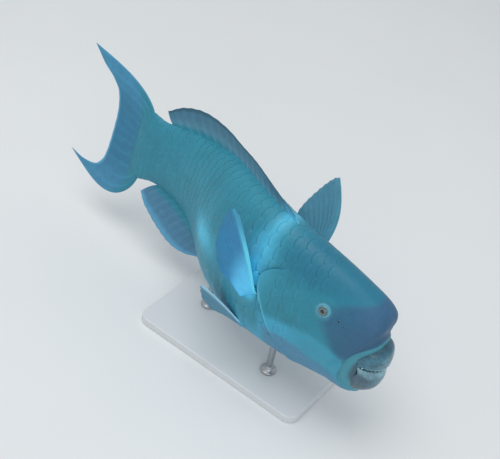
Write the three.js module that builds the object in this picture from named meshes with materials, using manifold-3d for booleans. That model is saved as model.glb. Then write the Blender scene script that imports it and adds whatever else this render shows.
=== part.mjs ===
// A steep-headed parrotfish, life size, held in its swimming pose by a plain display stand.
// Millimetres, +Z up, the head towards +X and the fish's left side towards +Y.
// The origin is the middle of the underside of the stand's base.
import * as THREE from "three";
import { mergeVertices } from "three/addons/utils/BufferGeometryUtils.js";
import Module from "manifold-3d";

const wasm = await Module();
wasm.setup();

// The fish is measured in its own coordinates: s runs back from the snout along the bent midline,
// n goes to the fish's left and z goes up from the body's axis.
const AXIS_HEIGHT = 139;
const SNOUT = { x: 188, y: -21 };
const GAP = 0.35;
const FACE_END = 62;

// The body bends in plan: each bend turns the midline by an angle between two distances.
const BENDS = [
  { turn: -0.586, from: 100, to: 280 },
  { turn: 0.63, from: 240, to: 420 },
  { turn: -0.201, from: 380, to: 520 },
];
// It also rolls a little: the trunk, then the tail, lean their upper edge to the left.
const TRUNK_ROLL = { angle: 0.113, from: 80, to: 240, fades: [300, 440] };
const TAIL_ROLL = { angle: 0.195, from: 300, to: 440 };

// Upper outline, lower outline and half width of the trunk, each as [s, size].
const TOP = [
  [62, 67], [85, 72.9], [130, 81.3], [185, 84.4], [240, 81], [290, 71.8],
  [335, 59.9], [380, 48.4], [408, 43.4], [430, 46.5],
];
const BOTTOM = [
  [62, -75.6], [100, -80], [150, -81], [200, -80], [250, -76], [300, -64],
  [345, -49], [385, -41], [408, -40.5], [430, -47],
];
const HALF_WIDTH = [
  [62, 35], [100, 37.9], [150, 39], [200, 40], [250, 38.6], [300, 30],
  [350, 18], [400, 10.5], [430, 7],
];
const SECTION_POWER = 2.15;

// Muzzle stations from the lips back to the face: the top point and the bottom point of each
// ring, its half width, how far its sides sweep back, and how square its section is.
const MUZZLE = [
  { top: [15.7, 7], bottom: [24, -66], width: 30, sweep: 23, power: 3, keel: 0.42 },
  { top: [17.6, 15], bottom: [29, -71], width: 32, sweep: 20.5, power: 2.85, keel: 0.37 },
  { top: [17.2, 25], bottom: [35, -73], width: 33.1, sweep: 17, power: 2.75, keel: 0.31 },
  { top: [15.8, 36], bottom: [41, -74.2], width: 33.8, sweep: 14, power: 2.65, keel: 0.25 },
  { top: [19.4, 46.5], bottom: [47.5, -75], width: 34, sweep: 10.5, power: 2.45, keel: 0.18 },
  { top: [33, 56.5], bottom: [54, -75.4], width: 34.4, sweep: 6, power: 2.3, keel: 0.11 },
  { top: [62, 67], bottom: [62, -75.6], width: 35, sweep: 0, power: 2.15, keel: 0.05 },
];
const SWEEP_POWER = 3;
const JAW_SWEEP = 0.5;
const KEEL_FADES_AT = 120;
// The inside of the mouth: its floor, and the rings on the way out to the lips, each as the share
// of the way, its shift along the body, and how far the folds at the mouth's corners push it on.
const MOUTH = {
  floor: [30, 0, -20],
  rings: [
    { share: 0.5, back: 0, fold: -3 }, { share: 0.76, back: -1, fold: -6.5 },
    { share: 0.9, back: -2.2, fold: -2.5 },
  ],
};

// Rear edge of the gill cover, as [height from -1 at the belly to 1 at the nape, s].
const GILL_EDGE = [
  [-1, 97], [-0.7, 113], [-0.38, 133], [0, 149], [0.16, 154.5], [0.34, 154],
  [0.5, 145], [0.62, 132], [0.76, 123], [1, 119],
];
// The flap lifts off the body at its rear edge, but neither on the throat nor on the nape, and
// the body behind it starts a little deeper.
const GILL = {
  flap: 1.5, inset: 0.7, pole: [124, 0, 2], rises: [-1, -0.8], fades: [0.5, 0.66],
  liftFrom: 0.72, under: 1.2, insetLift: 0.2, insetFades: 0.16,
};
const PEDUNCLE = { joint: 330, end: 430, jointPole: 5, endPole: 1 };

const AROUND = 48;
const HEAD_RINGS = 11;
const TORSO_RINGS = 20;
const TORSO_CROWDING = 1.25;
const PEDUNCLE_RINGS = 12;

// Upper and lower tooth plates of the beak.
const BEAK = {
  spread: 1.36, thick: 2.2, rowSpan: 7, columns: 16, rows: 6,
  flankPower: 2.5, thinning: { share: 0.35, power: 3 },
  upper: {
    halfWidth: 25, depth: 29, sides: [-8, -15.5],
    profile: [[17, 7], [9, 3], [6.6, -6], [6.8, -18.5]],
  },
  lower: {
    halfWidth: 22, depth: 25, sides: [-20.5, -44],
    profile: [[10.4, -24.5], [8, -36], [11.4, -51], [23, -62.5]],
  },
};

const EYE = { s: 79.5, z: 33, radius: 7.9, bulge: 0.42 };
const LID = { share: 0.86, thick: 1.4, sunk: 0.2 };
const NOSTRIL_RIM = 0.4;
const NOSTRILS = [
  { s: 60, z: 30.5, radius: 2.1 },
  { s: 53.5, z: 27.5, radius: 1.4 },
];

// Dorsal and anal fins: the base along the outline, the number of rays, the height of the fin at
// shares of its length, how far each ray leans back for its height and, on the anal fin, how far
// it tilts out of the upright.
const FIN_ROWS = 5;
const FIN_HOLLOW = 0.12;
const FIN_CLEARANCE = 0.45;
const DORSAL = {
  from: 150, to: 399, rays: 19, tilt: 0, lean: [[0, 1.5], [0.5, 1], [1, 0.95]],
  height: [[0, 5], [0.1, 10.5], [0.3, 13], [0.48, 14], [0.6, 20], [0.74, 25], [0.88, 22], [1, 13]],
};
const ANAL = {
  from: 283, to: 399, rays: 12, lean: [[0, 0.85], [0.5, 0.8], [1, 1.1]], tilt: 0.3,
  height: [[0, 15], [0.12, 31], [0.3, 39], [0.55, 38.5], [0.8, 29], [1, 17]],
};
// Tail fin: where its rays end, as [share from the upper edge to the lower edge, s or z], how far
// its two lobes bow outwards, and the fleshy part at its root.
const CAUDAL = {
  rays: 13, rows: 8, rootShare: 0.97, thick: 1.1,
  bow: { upper: 14.5, lower: -36, reach: 0.45, power: 1.4, along: 0.62 },
  flesh: { half: 4.2, until: 0.4, power: 0.6 },
  endS: [[0, 553], [0.07, 530], [0.14, 508], [0.24, 494], [0.5, 486], [0.76, 488], [0.86, 500],
    [0.93, 524], [1, 551]],
  endZ: [[0, 79.5], [0.07, 65], [0.14, 55], [0.24, 42], [0.5, 2], [0.76, -44], [0.86, -66],
    [0.93, -74], [1, -73]],
};
// Paired fins: base points [s, z], then the directions of the first and the last ray as
// [back, out, up], the first ray's length and the share of it that the other rays reach.
const PECTORAL_SHAPE = [[0, 0.92], [0.08, 1], [0.25, 0.93], [0.5, 0.76], [0.75, 0.58], [1, 0.43]];
const PECTORAL = { front: [151, -1], back: [166, -16], rays: 15, lift: 1.2, bow: 0.05 };
const PECTORALS = {
  right: { first: [39, 5, 103], last: [50, 8, 42], length: 110, forward: 1 },
  left: { first: [16, 62, 88], last: [56, 40, 30], length: 110, forward: 17 },
};
const PELVIC = {
  base: [[165, 28], [174, 21]], first: [48, 21, 41], last: [60, 12, 8], length: 66, rays: 6,
  shape: [[0, 1], [0.2, 0.97], [0.6, 0.8], [1, 0.52]], bow: -0.09, outside: 0.8, below: 2,
};
const FAN_ROWS = 6;
const FAN_THICK = 0.8;
// Half thickness of a fin at its root and its edge, and the ridge that each ray adds.
const MEMBRANE = { root: 1.2, edge: 0.32 };
const RIDGE = { half: 0.5, thinning: 0.7 };

// The stand: a flat base and two short rods that reach up to the belly.
const BASE = { length: 230, width: 130, thick: 10, bevel: 1.2, corner: 12 };
const ROD_RADIUS = 4;
const ROD_SIDES = 24;
const RODS = { front: 138, rear: 258 };

const COLOURS = {
  head: 0x3f7f99, torso: 0x44869a, peduncle: 0x46889c, beak: 0x4c7685, eye: 0x6d7f88,
  dorsal: 0x4e778f, anal: 0x427088, caudal: 0x487d9d, pectoral: 0x4283ab, pelvic: 0x54879f,
  base: 0xd8dadb, rod: 0xb4b7ba,
};

// Returns the cubic that passes through the points [x, y], with a smooth slope at each.
function curveThrough(points) {
  const slope = points.map((p, i) => {
    const before = points[Math.max(i - 1, 0)];
    const after = points[Math.min(i + 1, points.length - 1)];
    return (after[1] - before[1]) / (after[0] - before[0]);
  });
  return (x) => {
    let i = 0;
    while (i < points.length - 2 && x > points[i + 1][0]) i += 1;
    const [x0, y0] = points[i];
    const [x1, y1] = points[i + 1];
    const span = x1 - x0;
    const t = (x - x0) / span;
    const u = 1 - t;
    return (
      y0 * u * u * (1 + 2 * t) + y1 * t * t * (3 - 2 * t) +
      span * t * u * (slope[i] * u - slope[i + 1] * t)
    );
  };
}

const ramp = (x, from, to) => THREE.MathUtils.smoothstep(x, from, to);
const lerp = THREE.MathUtils.lerp;
const signedPower = (x, power) => Math.sign(x) * Math.abs(x) ** power;
const mix = (a, b, t) => a.map((value, i) => lerp(value, b[i], t));

const topLine = curveThrough(TOP);
const bottomLine = curveThrough(BOTTOM);
const widthLine = curveThrough(HALF_WIDTH);
const gillLine = curveThrough(GILL_EDGE);
const muzzle = (pick) => curveThrough(MUZZLE.map((ring, i) => [i, pick(ring)]));
const MUZZLE_LINES = {
  topS: muzzle((r) => r.top[0]),
  topZ: muzzle((r) => r.top[1]),
  bottomS: muzzle((r) => r.bottom[0]),
  bottomZ: muzzle((r) => r.bottom[1]),
  width: muzzle((r) => r.width),
  sweep: muzzle((r) => r.sweep),
  power: muzzle((r) => r.power),
  keel: muzzle((r) => r.keel),
};

// The midline, walked in steps of a millimetre: x, y and heading at each distance s.
const MIDLINE_LENGTH = 640;
const MIDLINE = [];
{
  let { x, y } = SNOUT;
  for (let s = 0; s <= MIDLINE_LENGTH; s += 1) {
    const heading = BENDS.reduce((sum, b) => sum + b.turn * ramp(s + 0.5, b.from, b.to), 0);
    MIDLINE.push({ x, y, heading });
    x -= Math.cos(heading);
    y -= Math.sin(heading);
  }
}

// Turns fish coordinates [s, n, z] into a point in the model's frame.
function place([s, n, z]) {
  const i = THREE.MathUtils.clamp(Math.floor(s), 0, MIDLINE.length - 2);
  const a = MIDLINE[i];
  const b = MIDLINE[i + 1];
  const t = s - i;
  const heading = lerp(a.heading, b.heading, t);
  const trunk = ramp(s, TRUNK_ROLL.from, TRUNK_ROLL.to) - ramp(s, ...TRUNK_ROLL.fades);
  const roll = TRUNK_ROLL.angle * trunk + TAIL_ROLL.angle * ramp(s, TAIL_ROLL.from, TAIL_ROLL.to);
  const side = n * Math.cos(roll) + z * Math.sin(roll);
  const height = z * Math.cos(roll) - n * Math.sin(roll);
  return new THREE.Vector3(
    lerp(a.x, b.x, t) - Math.sin(heading) * side,
    lerp(a.y, b.y, t) + Math.cos(heading) * side,
    AXIS_HEIGHT + height,
  );
}

// Point of a ring at the angle turn, which is 0 on the left flank and a quarter turn on the back.
function ringPoint(ring, turn, inset = 0) {
  const across = signedPower(Math.cos(turn), 2 / ring.power);
  const up = signedPower(Math.sin(turn), 2 / ring.power);
  const keel = up < 0 ? 1 - ring.keel * up * up : 1;
  const half = (ring.topZ - ring.bottomZ) / 2;
  const middleS = (ring.topS + ring.bottomS) / 2;
  const swept = ring.sweep * (up < 0 ? 1 - JAW_SWEEP * up * up : 1);
  return [
    middleS + ((ring.topS - ring.bottomS) / 2) * up + swept * Math.abs(across) ** SWEEP_POWER,
    (ring.width - inset) * across * keel,
    (ring.topZ + ring.bottomZ) / 2 + (half - inset) * up,
  ];
}

function muzzleRing(m) {
  return Object.fromEntries(Object.entries(MUZZLE_LINES).map(([key, line]) => [key, line(m)]));
}

function trunkRing(s) {
  const keel = MUZZLE.at(-1).keel * (1 - ramp(s, FACE_END, KEEL_FADES_AT));
  return {
    topS: s, bottomS: s, topZ: topLine(s), bottomZ: bottomLine(s), width: widthLine(s),
    sweep: 0, power: SECTION_POWER, keel,
  };
}

// Point on the flank at a distance and a height, lifted off the skin by a clearance.
const FLANK_LIMIT = 0.995;
function onFlank(s, z, side, clearance = 0) {
  const ring = trunkRing(s);
  const half = (ring.topZ - ring.bottomZ) / 2;
  const up = THREE.MathUtils.clamp((z - (ring.topZ + ring.bottomZ) / 2) / half, -FLANK_LIMIT, FLANK_LIMIT);
  const across = (1 - Math.abs(up) ** SECTION_POWER) ** (1 / SECTION_POWER);
  return [s, side * (ring.width * across + clearance), z];
}

const TURNS = Array.from({ length: AROUND }, (_, i) => (2 * Math.PI * i) / AROUND);

// The gill cover's edge at an angle: its distance, and its lift off the throat and nape.
function gillEdge(turn) {
  const up = signedPower(Math.sin(turn), 2 / SECTION_POWER);
  const lift = GILL.flap * ramp(up, ...GILL.rises) * (1 - ramp(up, ...GILL.fades));
  return { s: gillLine(up), lift };
}

// Makes a geometry from points and triangles, turned so that its faces point out.
function geometryOf(points, faces) {
  const geometry = new THREE.BufferGeometry();
  geometry.setAttribute("position", new THREE.Float32BufferAttribute(points.flat(), 3));
  let volume = 0;
  for (const [a, b, c] of faces) {
    const [p, q, r] = [points[a], points[b], points[c]].map((v) => new THREE.Vector3(...v));
    volume += p.dot(q.cross(r));
  }
  geometry.setIndex(faces.flatMap(([a, b, c]) => (volume < 0 ? [a, c, b] : [a, b, c])));
  return geometry;
}

// Closes a row of rings into one body, with a point at each end.
function loft(rings, firstPole, lastPole) {
  const points = [place(firstPole), ...rings.flat().map(place), place(lastPole)];
  const faces = [];
  const at = (ring, i) => 1 + ring * AROUND + (i % AROUND);
  for (let i = 0; i < AROUND; i += 1) {
    faces.push([0, at(0, i + 1), at(0, i)]);
    for (let r = 0; r < rings.length - 1; r += 1) {
      faces.push([at(r, i), at(r, i + 1), at(r + 1, i)]);
      faces.push([at(r, i + 1), at(r + 1, i + 1), at(r + 1, i)]);
    }
    faces.push([points.length - 1, at(rings.length - 1, i), at(rings.length - 1, i + 1)]);
  }
  return geometryOf(points.map((p) => p.toArray()), faces);
}

// A thin closed plate about a middle surface: at(u, v) gives its points in the model's frame and
// half(column, u, v) half its thickness. Both faces are split into triangles alike.
function plate(columns, rows, at, half) {
  const points = [];
  const step = 1e-3;
  for (let i = 0; i <= columns; i += 1) {
    for (let j = 0; j <= rows; j += 1) {
      const u = i / columns;
      const v = j / rows;
      const du = at(Math.min(u + step, 1), v).sub(at(Math.max(u - step, 0), v));
      const dv = at(u, Math.min(v + step, 1)).sub(at(u, Math.max(v - step, 0)));
      const normal = du.cross(dv).normalize().multiplyScalar(half(i, u, v));
      points.push(at(u, v).add(normal).toArray(), at(u, v).sub(normal).toArray());
    }
  }
  const faces = [];
  const id = (i, j, face) => 2 * (i * (rows + 1) + j) + face;
  for (let i = 0; i < columns; i += 1) {
    for (let j = 0; j < rows; j += 1) {
      const corners = [id(i, j, 0), id(i + 1, j, 0), id(i + 1, j + 1, 0), id(i, j + 1, 0)];
      const [a, b, c, d] = corners;
      faces.push([a, b, c], [a, c, d], [a + 1, c + 1, b + 1], [a + 1, d + 1, c + 1]);
    }
  }
  const rim = [];
  for (let i = 0; i < columns; i += 1) rim.push(id(i, 0, 0));
  for (let j = 0; j < rows; j += 1) rim.push(id(columns, j, 0));
  for (let i = columns; i > 0; i -= 1) rim.push(id(i, rows, 0));
  for (let j = rows; j > 0; j -= 1) rim.push(id(0, j, 0));
  rim.forEach((a, k) => {
    const b = rim[(k + 1) % rim.length];
    faces.push([b, a, a + 1], [b, a + 1, b + 1]);
  });
  return geometryOf(points, faces);
}

// Half thickness of a fin: a ridge on every other column, thinning towards the edge.
const rayed = (scale) => (column, u, v) => {
  const ridge = column % 2 === 0 ? RIDGE.half * (1 - RIDGE.thinning * v) : 0;
  return scale * lerp(MEMBRANE.root, MEMBRANE.edge, Math.sqrt(v)) + ridge;
};

function solidFrom(geometry) {
  const bare = geometry.clone();
  bare.deleteAttribute("normal");
  bare.deleteAttribute("uv");
  const merged = mergeVertices(bare, 1e-4);
  return new wasm.Manifold(
    new wasm.Mesh({
      numProp: 3,
      vertProperties: merged.attributes.position.array,
      triVerts: new Uint32Array(merged.index.array),
    }),
  );
}

// Back from a solid to a geometry, keeping only its largest closed surface.
function geometryFrom(solid) {
  const largest = solid.decompose().sort((a, b) => b.volume() - a.volume())[0];
  const mesh = largest.getMesh();
  const geometry = new THREE.BufferGeometry();
  geometry.setAttribute("position", new THREE.Float32BufferAttribute(mesh.vertProperties, 3));
  geometry.setIndex(Array.from(mesh.triVerts));
  return geometry;
}

const fish = new THREE.Group();
function add(name, geometry, colour, roughness = 0.45, metalness = 0) {
  geometry.computeVertexNormals();
  const material = new THREE.MeshStandardMaterial({ color: colour, roughness, metalness });
  const mesh = new THREE.Mesh(geometry, material);
  mesh.name = name;
  fish.add(mesh);
}

// A beak plate: a bowed shell whose middle profile is a curve of [s, z], wrapped round the jaw.
function beakPlate({ profile, sides, halfWidth, depth }, grow) {
  const steps = profile.length - 1;
  const alongS = curveThrough(profile.map(([s], i) => [i / steps, s]));
  const alongZ = curveThrough(profile.map(([, z], i) => [i / steps, z]));
  const at = (u, share) => {
    const turn = (BEAK.spread + grow / halfWidth) * (2 * u - 1);
    const v = lerp(-grow / BEAK.rowSpan, 1 + grow / BEAK.rowSpan, share);
    const flank = Math.abs(2 * u - 1) ** BEAK.flankPower;
    const s = alongS(v) + depth * (1 - Math.cos(turn));
    const z = lerp(alongZ(v), lerp(sides[0], sides[1], v), flank);
    return place([s, halfWidth * Math.sin(turn), z]);
  };
  const { share: thinner, power } = BEAK.thinning;
  const half = (i, u) => BEAK.thick * (1 - thinner * Math.abs(2 * u - 1) ** power) + grow;
  return plate(BEAK.columns, BEAK.rows, at, half);
}

// The place, the outward direction and the turn of something that lies on the cheek.
function onCheek(s, z, side) {
  const here = place(onFlank(s, z, side));
  const back = place(onFlank(s + 2, z, side)).sub(here);
  const up = place(onFlank(s, z + 2, side)).sub(here);
  const outward = back.clone().cross(up).multiplyScalar(side).normalize();
  const turn = new THREE.Quaternion().setFromUnitVectors(new THREE.Vector3(0, 0, 1), outward);
  return { here, outward, turn };
}

function seat(geometry, { here, turn }, shift = new THREE.Vector3()) {
  return geometry.applyQuaternion(turn).translate(...here.clone().add(shift).toArray());
}

function eyeball(side, grow) {
  const spot = onCheek(EYE.s, EYE.z, side);
  const ball = new THREE.SphereGeometry(EYE.radius + grow, 28, 16);
  return seat(ball, spot, spot.outward.clone().multiplyScalar(-EYE.radius * (1 - EYE.bulge)));
}

function lidRing(side) {
  const spot = onCheek(EYE.s, EYE.z, side);
  const ring = new THREE.TorusGeometry(EYE.radius * LID.share, LID.thick, 8, 28);
  return seat(ring, spot, spot.outward.clone().multiplyScalar(-LID.sunk));
}

function nostrilRing({ s, z, radius }, side) {
  return seat(new THREE.TorusGeometry(radius, radius * NOSTRIL_RIM, 5, 10), onCheek(s, z, side));
}

function headGeometry() {
  const lips = muzzleRing(0);
  const rings = MOUTH.rings.map(({ share, back, fold }) => TURNS.map((turn) => {
    const [s, n, z] = mix(MOUTH.floor, ringPoint(lips, turn), share);
    return [s + back + fold * Math.cos(turn) ** 2, n, z];
  }));
  const steps = 2 * (MUZZLE.length - 1);
  for (let m = 0; m <= steps; m += 1) {
    rings.push(TURNS.map((turn) => ringPoint(muzzleRing(m / 2), turn)));
  }
  for (let k = 1; k <= HEAD_RINGS; k += 1) {
    rings.push(TURNS.map((turn) => {
      const edge = gillEdge(turn);
      const share = k / HEAD_RINGS;
      const lift = edge.lift * ramp(share, GILL.liftFrom, 1);
      return ringPoint(trunkRing(lerp(FACE_END, edge.s, share)), turn, -lift);
    }));
  }
  return loft(rings, MOUTH.floor, GILL.pole);
}

function torsoGeometry() {
  const edge = (turn) => {
    const { s, lift } = gillEdge(turn);
    const rim = ringPoint(trunkRing(s), turn, -lift);
    const reach = Math.hypot(rim[1], rim[2]);
    const share = 1 - (lift * GILL.under + GILL.inset) / reach;
    const [forward, n, z] = mix(GILL.pole, rim, share);
    return [forward + GAP, n, z];
  };
  const rings = [TURNS.map(edge)];
  for (let k = 1; k <= TORSO_RINGS; k += 1) {
    rings.push(TURNS.map((turn) => {
      const { s, lift } = gillEdge(turn);
      const share = (k / TORSO_RINGS) ** TORSO_CROWDING;
      const inset = (GILL.inset + lift * GILL.insetLift) * (1 - ramp(share, 0, GILL.insetFades));
      return ringPoint(trunkRing(lerp(s + 1, PEDUNCLE.joint, share)), turn, inset);
    }));
  }
  const [s, n, z] = GILL.pole;
  return loft(rings, [s + GAP, n, z], [PEDUNCLE.joint, 0, PEDUNCLE.jointPole]);
}

function peduncleGeometry() {
  const rings = [];
  const start = PEDUNCLE.joint + GAP;
  for (let k = 0; k <= PEDUNCLE_RINGS; k += 1) {
    const s = lerp(start, PEDUNCLE.end, k / PEDUNCLE_RINGS);
    rings.push(TURNS.map((turn) => ringPoint(trunkRing(s), turn)));
  }
  return loft(rings, [start, 0, PEDUNCLE.jointPole], [PEDUNCLE.end, 0, PEDUNCLE.endPole]);
}

// A fin on the midline, above the back or, with side -1, below the belly.
function midlineFin(fin, line, side) {
  const height = curveThrough(fin.height);
  const lean = curveThrough(fin.lean);
  const at = (u, v) => {
    const s = lerp(fin.from, fin.to, u);
    const h = height(u);
    const rise = h * (v - FIN_HOLLOW * Math.sin(Math.PI * v));
    const out = fin.tilt * rise;
    const root = line(s) + side * FIN_CLEARANCE;
    return place([s + lean(u) * h * v, -out, root + side * (v === 0 ? 0 : rise)]);
  };
  return plate(2 * (fin.rays - 1), FIN_ROWS, at, rayed(1));
}

function caudalFin() {
  const endS = curveThrough(CAUDAL.endS);
  const endZ = curveThrough(CAUDAL.endZ);
  const root = PEDUNCLE.end + GAP;
  const { bow, flesh } = CAUDAL;
  const at = (u, v) => {
    const rootZ = lerp(topLine(PEDUNCLE.end), bottomLine(PEDUNCLE.end), u) * CAUDAL.rootShare;
    const upper = bow.upper * Math.max(0, 1 - u / bow.reach) ** bow.power;
    const lower = bow.lower * Math.max(0, 1 - (1 - u) / bow.reach) ** bow.power;
    const bulge = (upper + lower) * Math.sin(Math.PI * v ** bow.along);
    return place([lerp(root, endS(u), v), 0, lerp(rootZ, endZ(u), v) + bulge]);
  };
  const half = (column, u, v) => {
    const thick = flesh.half * Math.max(0, 1 - v / flesh.until) ** 2;
    return rayed(CAUDAL.thick)(column, u, v) + thick * (4 * u * (1 - u)) ** flesh.power;
  };
  return plate(2 * (CAUDAL.rays - 1), CAUDAL.rows, at, half);
}

// Turns a direction of [back, out, up] at a distance s and on a side into the model's frame.
function direction([back, out, up], s, side) {
  const { heading } = MIDLINE[Math.round(s)];
  return new THREE.Vector3(
    -back * Math.cos(heading) - side * out * Math.sin(heading),
    -back * Math.sin(heading) + side * out * Math.cos(heading),
    up,
  ).normalize();
}

// A paired fin: rays fan from the base, from the first direction to the last.
function fanFin(root, first, last, length, shape, rays, bow, forward = 0) {
  const reach = curveThrough(shape);
  const ahead = first.clone().sub(last).normalize();
  const at = (u, v) => {
    const along = first.clone().lerp(last, u).normalize();
    const l = length * reach(u) * v;
    const flat = first.clone().cross(last).normalize();
    const swing = forward * Math.sin(Math.PI * v) * (1 - u);
    const flex = bow * length * v * v;
    const tip = root(u).addScaledVector(along, l);
    return tip.addScaledVector(flat, flex).addScaledVector(ahead, swing);
  };
  return plate(2 * (rays - 1), FAN_ROWS, at, rayed(FAN_THICK));
}

function pectoralFin(side, { first, last, length, forward }) {
  const { front, back, rays, lift, bow } = PECTORAL;
  const root = (u) => {
    const [s, z] = mix(front, back, u);
    return place(onFlank(s, z, side, GILL.flap + lift));
  };
  const [a, b] = [first, last].map((d) => direction(d, front[0], side));
  return fanFin(root, a, b, length, PECTORAL_SHAPE, rays, bow, forward);
}

function pelvicFin(side) {
  const { base, first, last, length, rays, shape, bow, outside, below } = PELVIC;
  const root = (u) => {
    const [s, n] = mix(base[0], base[1], u);
    const ring = trunkRing(s);
    const across = n / ring.width;
    const down = (1 - across ** SECTION_POWER) ** (1 / SECTION_POWER);
    const half = (ring.topZ - ring.bottomZ) / 2;
    const z = ring.bottomZ + half - half * down;
    return place([s, side * (n + outside), z - below]);
  };
  const [a, b] = [first, last].map((d) => direction(d, base[0][0], side));
  return fanFin(root, a, b, length, shape, rays, bow * side);
}

// A rod that stands under the belly and stops just below its lowest point there.
function rod(s) {
  const belly = place([s, 0, bottomLine(s)]);
  const rim = TURNS.map((turn) => {
    const along = s + ROD_RADIUS * Math.cos(turn);
    return place([along, ROD_RADIUS * Math.sin(turn), bottomLine(along)]).z;
  });
  const top = Math.min(...rim) - GAP;
  const bottom = BASE.thick + GAP;
  const cylinder = new THREE.CylinderGeometry(ROD_RADIUS, ROD_RADIUS, top - bottom, ROD_SIDES);
  return cylinder.rotateX(Math.PI / 2).translate(belly.x, belly.y, (top + bottom) / 2);
}

function baseGeometry() {
  const [l, w] = [BASE.length / 2 - BASE.bevel, BASE.width / 2 - BASE.bevel];
  const { corner } = BASE;
  const outline = new THREE.Shape();
  outline.moveTo(-l + corner, -w);
  outline.lineTo(l - corner, -w);
  outline.absarc(l - corner, -w + corner, corner, -Math.PI / 2, 0);
  outline.absarc(l - corner, w - corner, corner, 0, Math.PI / 2);
  outline.absarc(-l + corner, w - corner, corner, Math.PI / 2, Math.PI);
  outline.absarc(-l + corner, -w + corner, corner, Math.PI, 1.5 * Math.PI);
  const plain = new THREE.ExtrudeGeometry(outline, {
    depth: BASE.thick - 2 * BASE.bevel, bevelThickness: BASE.bevel, bevelSize: BASE.bevel,
    bevelSegments: 2, curveSegments: 6,
  });
  return plain.translate(0, 0, BASE.bevel);
}

const SIDES = { left: 1, right: -1 };
const upperBeak = (grow) => beakPlate(BEAK.upper, grow);
const lowerBeak = (grow) => beakPlate(BEAK.lower, grow);

// The head is cut where the eyes and the beak sit, and lids and nostril rims are joined to it.
let head = solidFrom(headGeometry());
for (const side of Object.values(SIDES)) {
  head = head.add(solidFrom(lidRing(side)));
  for (const nostril of NOSTRILS) head = head.add(solidFrom(nostrilRing(nostril, side)));
  head = head.subtract(solidFrom(eyeball(side, GAP)));
}
head = head.subtract(solidFrom(upperBeak(GAP))).subtract(solidFrom(lowerBeak(GAP)));

add("head", geometryFrom(head), COLOURS.head);
add("torso", torsoGeometry(), COLOURS.torso);
add("tail_stem", peduncleGeometry(), COLOURS.peduncle);
add("beak_upper", upperBeak(0), COLOURS.beak, 0.25);
add("beak_lower", lowerBeak(0), COLOURS.beak, 0.25);
add("dorsal_fin", midlineFin(DORSAL, topLine, 1), COLOURS.dorsal);
add("anal_fin", midlineFin(ANAL, bottomLine, -1), COLOURS.anal);
add("caudal_fin", caudalFin(), COLOURS.caudal);
for (const [name, side] of Object.entries(SIDES)) {
  add(`eye_${name}`, eyeball(side, 0), COLOURS.eye, 0.1);
  add(`pectoral_fin_${name}`, pectoralFin(side, PECTORALS[name]), COLOURS.pectoral);
  add(`pelvic_fin_${name}`, pelvicFin(side), COLOURS.pelvic);
}
add("stand_base", baseGeometry(), COLOURS.base, 0.6);
add("stand_rod_front", rod(RODS.front), COLOURS.rod, 0.3, 1);
add("stand_rod_rear", rod(RODS.rear), COLOURS.rod, 0.3, 1);

export default fish;
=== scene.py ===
# %% [markdown]
# A life-size parrotfish on a display stand.
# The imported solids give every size. This lesson dresses them: one skin for the head, trunk and tail
# stem, a coat of overlapping scales, finer fins with rays, a beak of fused teeth and wet eyes.
# Each shape is a formula on a grid of two parameters, worked out for the whole grid at once, because
# a fish is all smooth sections and a formula keeps them smooth at any fineness.

import bpy
import numpy as np
from mathutils import Matrix, Vector


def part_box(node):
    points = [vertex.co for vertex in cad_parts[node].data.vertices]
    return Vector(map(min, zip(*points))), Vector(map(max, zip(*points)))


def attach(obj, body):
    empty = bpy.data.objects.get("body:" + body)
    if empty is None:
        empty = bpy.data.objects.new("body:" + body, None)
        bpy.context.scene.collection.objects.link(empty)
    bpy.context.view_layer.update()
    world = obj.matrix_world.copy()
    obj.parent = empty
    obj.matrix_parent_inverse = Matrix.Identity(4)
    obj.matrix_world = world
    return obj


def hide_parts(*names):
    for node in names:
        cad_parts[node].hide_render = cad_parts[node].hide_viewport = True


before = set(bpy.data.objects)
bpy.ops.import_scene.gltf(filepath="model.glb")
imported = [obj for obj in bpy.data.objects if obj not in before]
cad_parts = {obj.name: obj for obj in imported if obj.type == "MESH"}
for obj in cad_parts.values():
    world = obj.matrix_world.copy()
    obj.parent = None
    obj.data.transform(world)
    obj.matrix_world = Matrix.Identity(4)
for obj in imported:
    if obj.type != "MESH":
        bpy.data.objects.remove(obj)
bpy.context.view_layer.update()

# %% [markdown]
# The fish has coordinates of its own, in millimetres: s runs back from the snout along the bent
# midline, n goes to its left and z goes up from its axis. Building in these and bending afterwards
# keeps left and right alike, as they are on the animal. Modelling in place would be possible, but
# then every fin and scale would have to be bent by hand.

# %% Curves and the bent midline
AXIS_HEIGHT = 139.0
SNOUT_X = 188.0
SNOUT_Y = -21.0
# Each bend: its angle in radians and where it starts and ends along the midline.
BENDS = [(-0.586, 100, 280), (0.63, 240, 420), (-0.201, 380, 520)]
# A roll: its angle, where it starts and is full, and for the trunk where it fades again.
TRUNK_ROLL = (0.113, 80, 240, 300, 440)
TAIL_ROLL = (0.195, 300, 440)
MIDLINE_LENGTH = 640
METRES = 0.001


def smooth(x, start, end):
    """0 before start, 1 after end, and 3t^2 - 2t^3 of the share t between them."""
    t = np.clip((np.asarray(x, float) - start) / (end - start), 0, 1)
    return t * t * (3 - 2 * t)


def bell(distance, width):
    """A bell: e to the minus square of distance over width."""
    return np.exp(-np.square(np.asarray(distance, float) / width))


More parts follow.
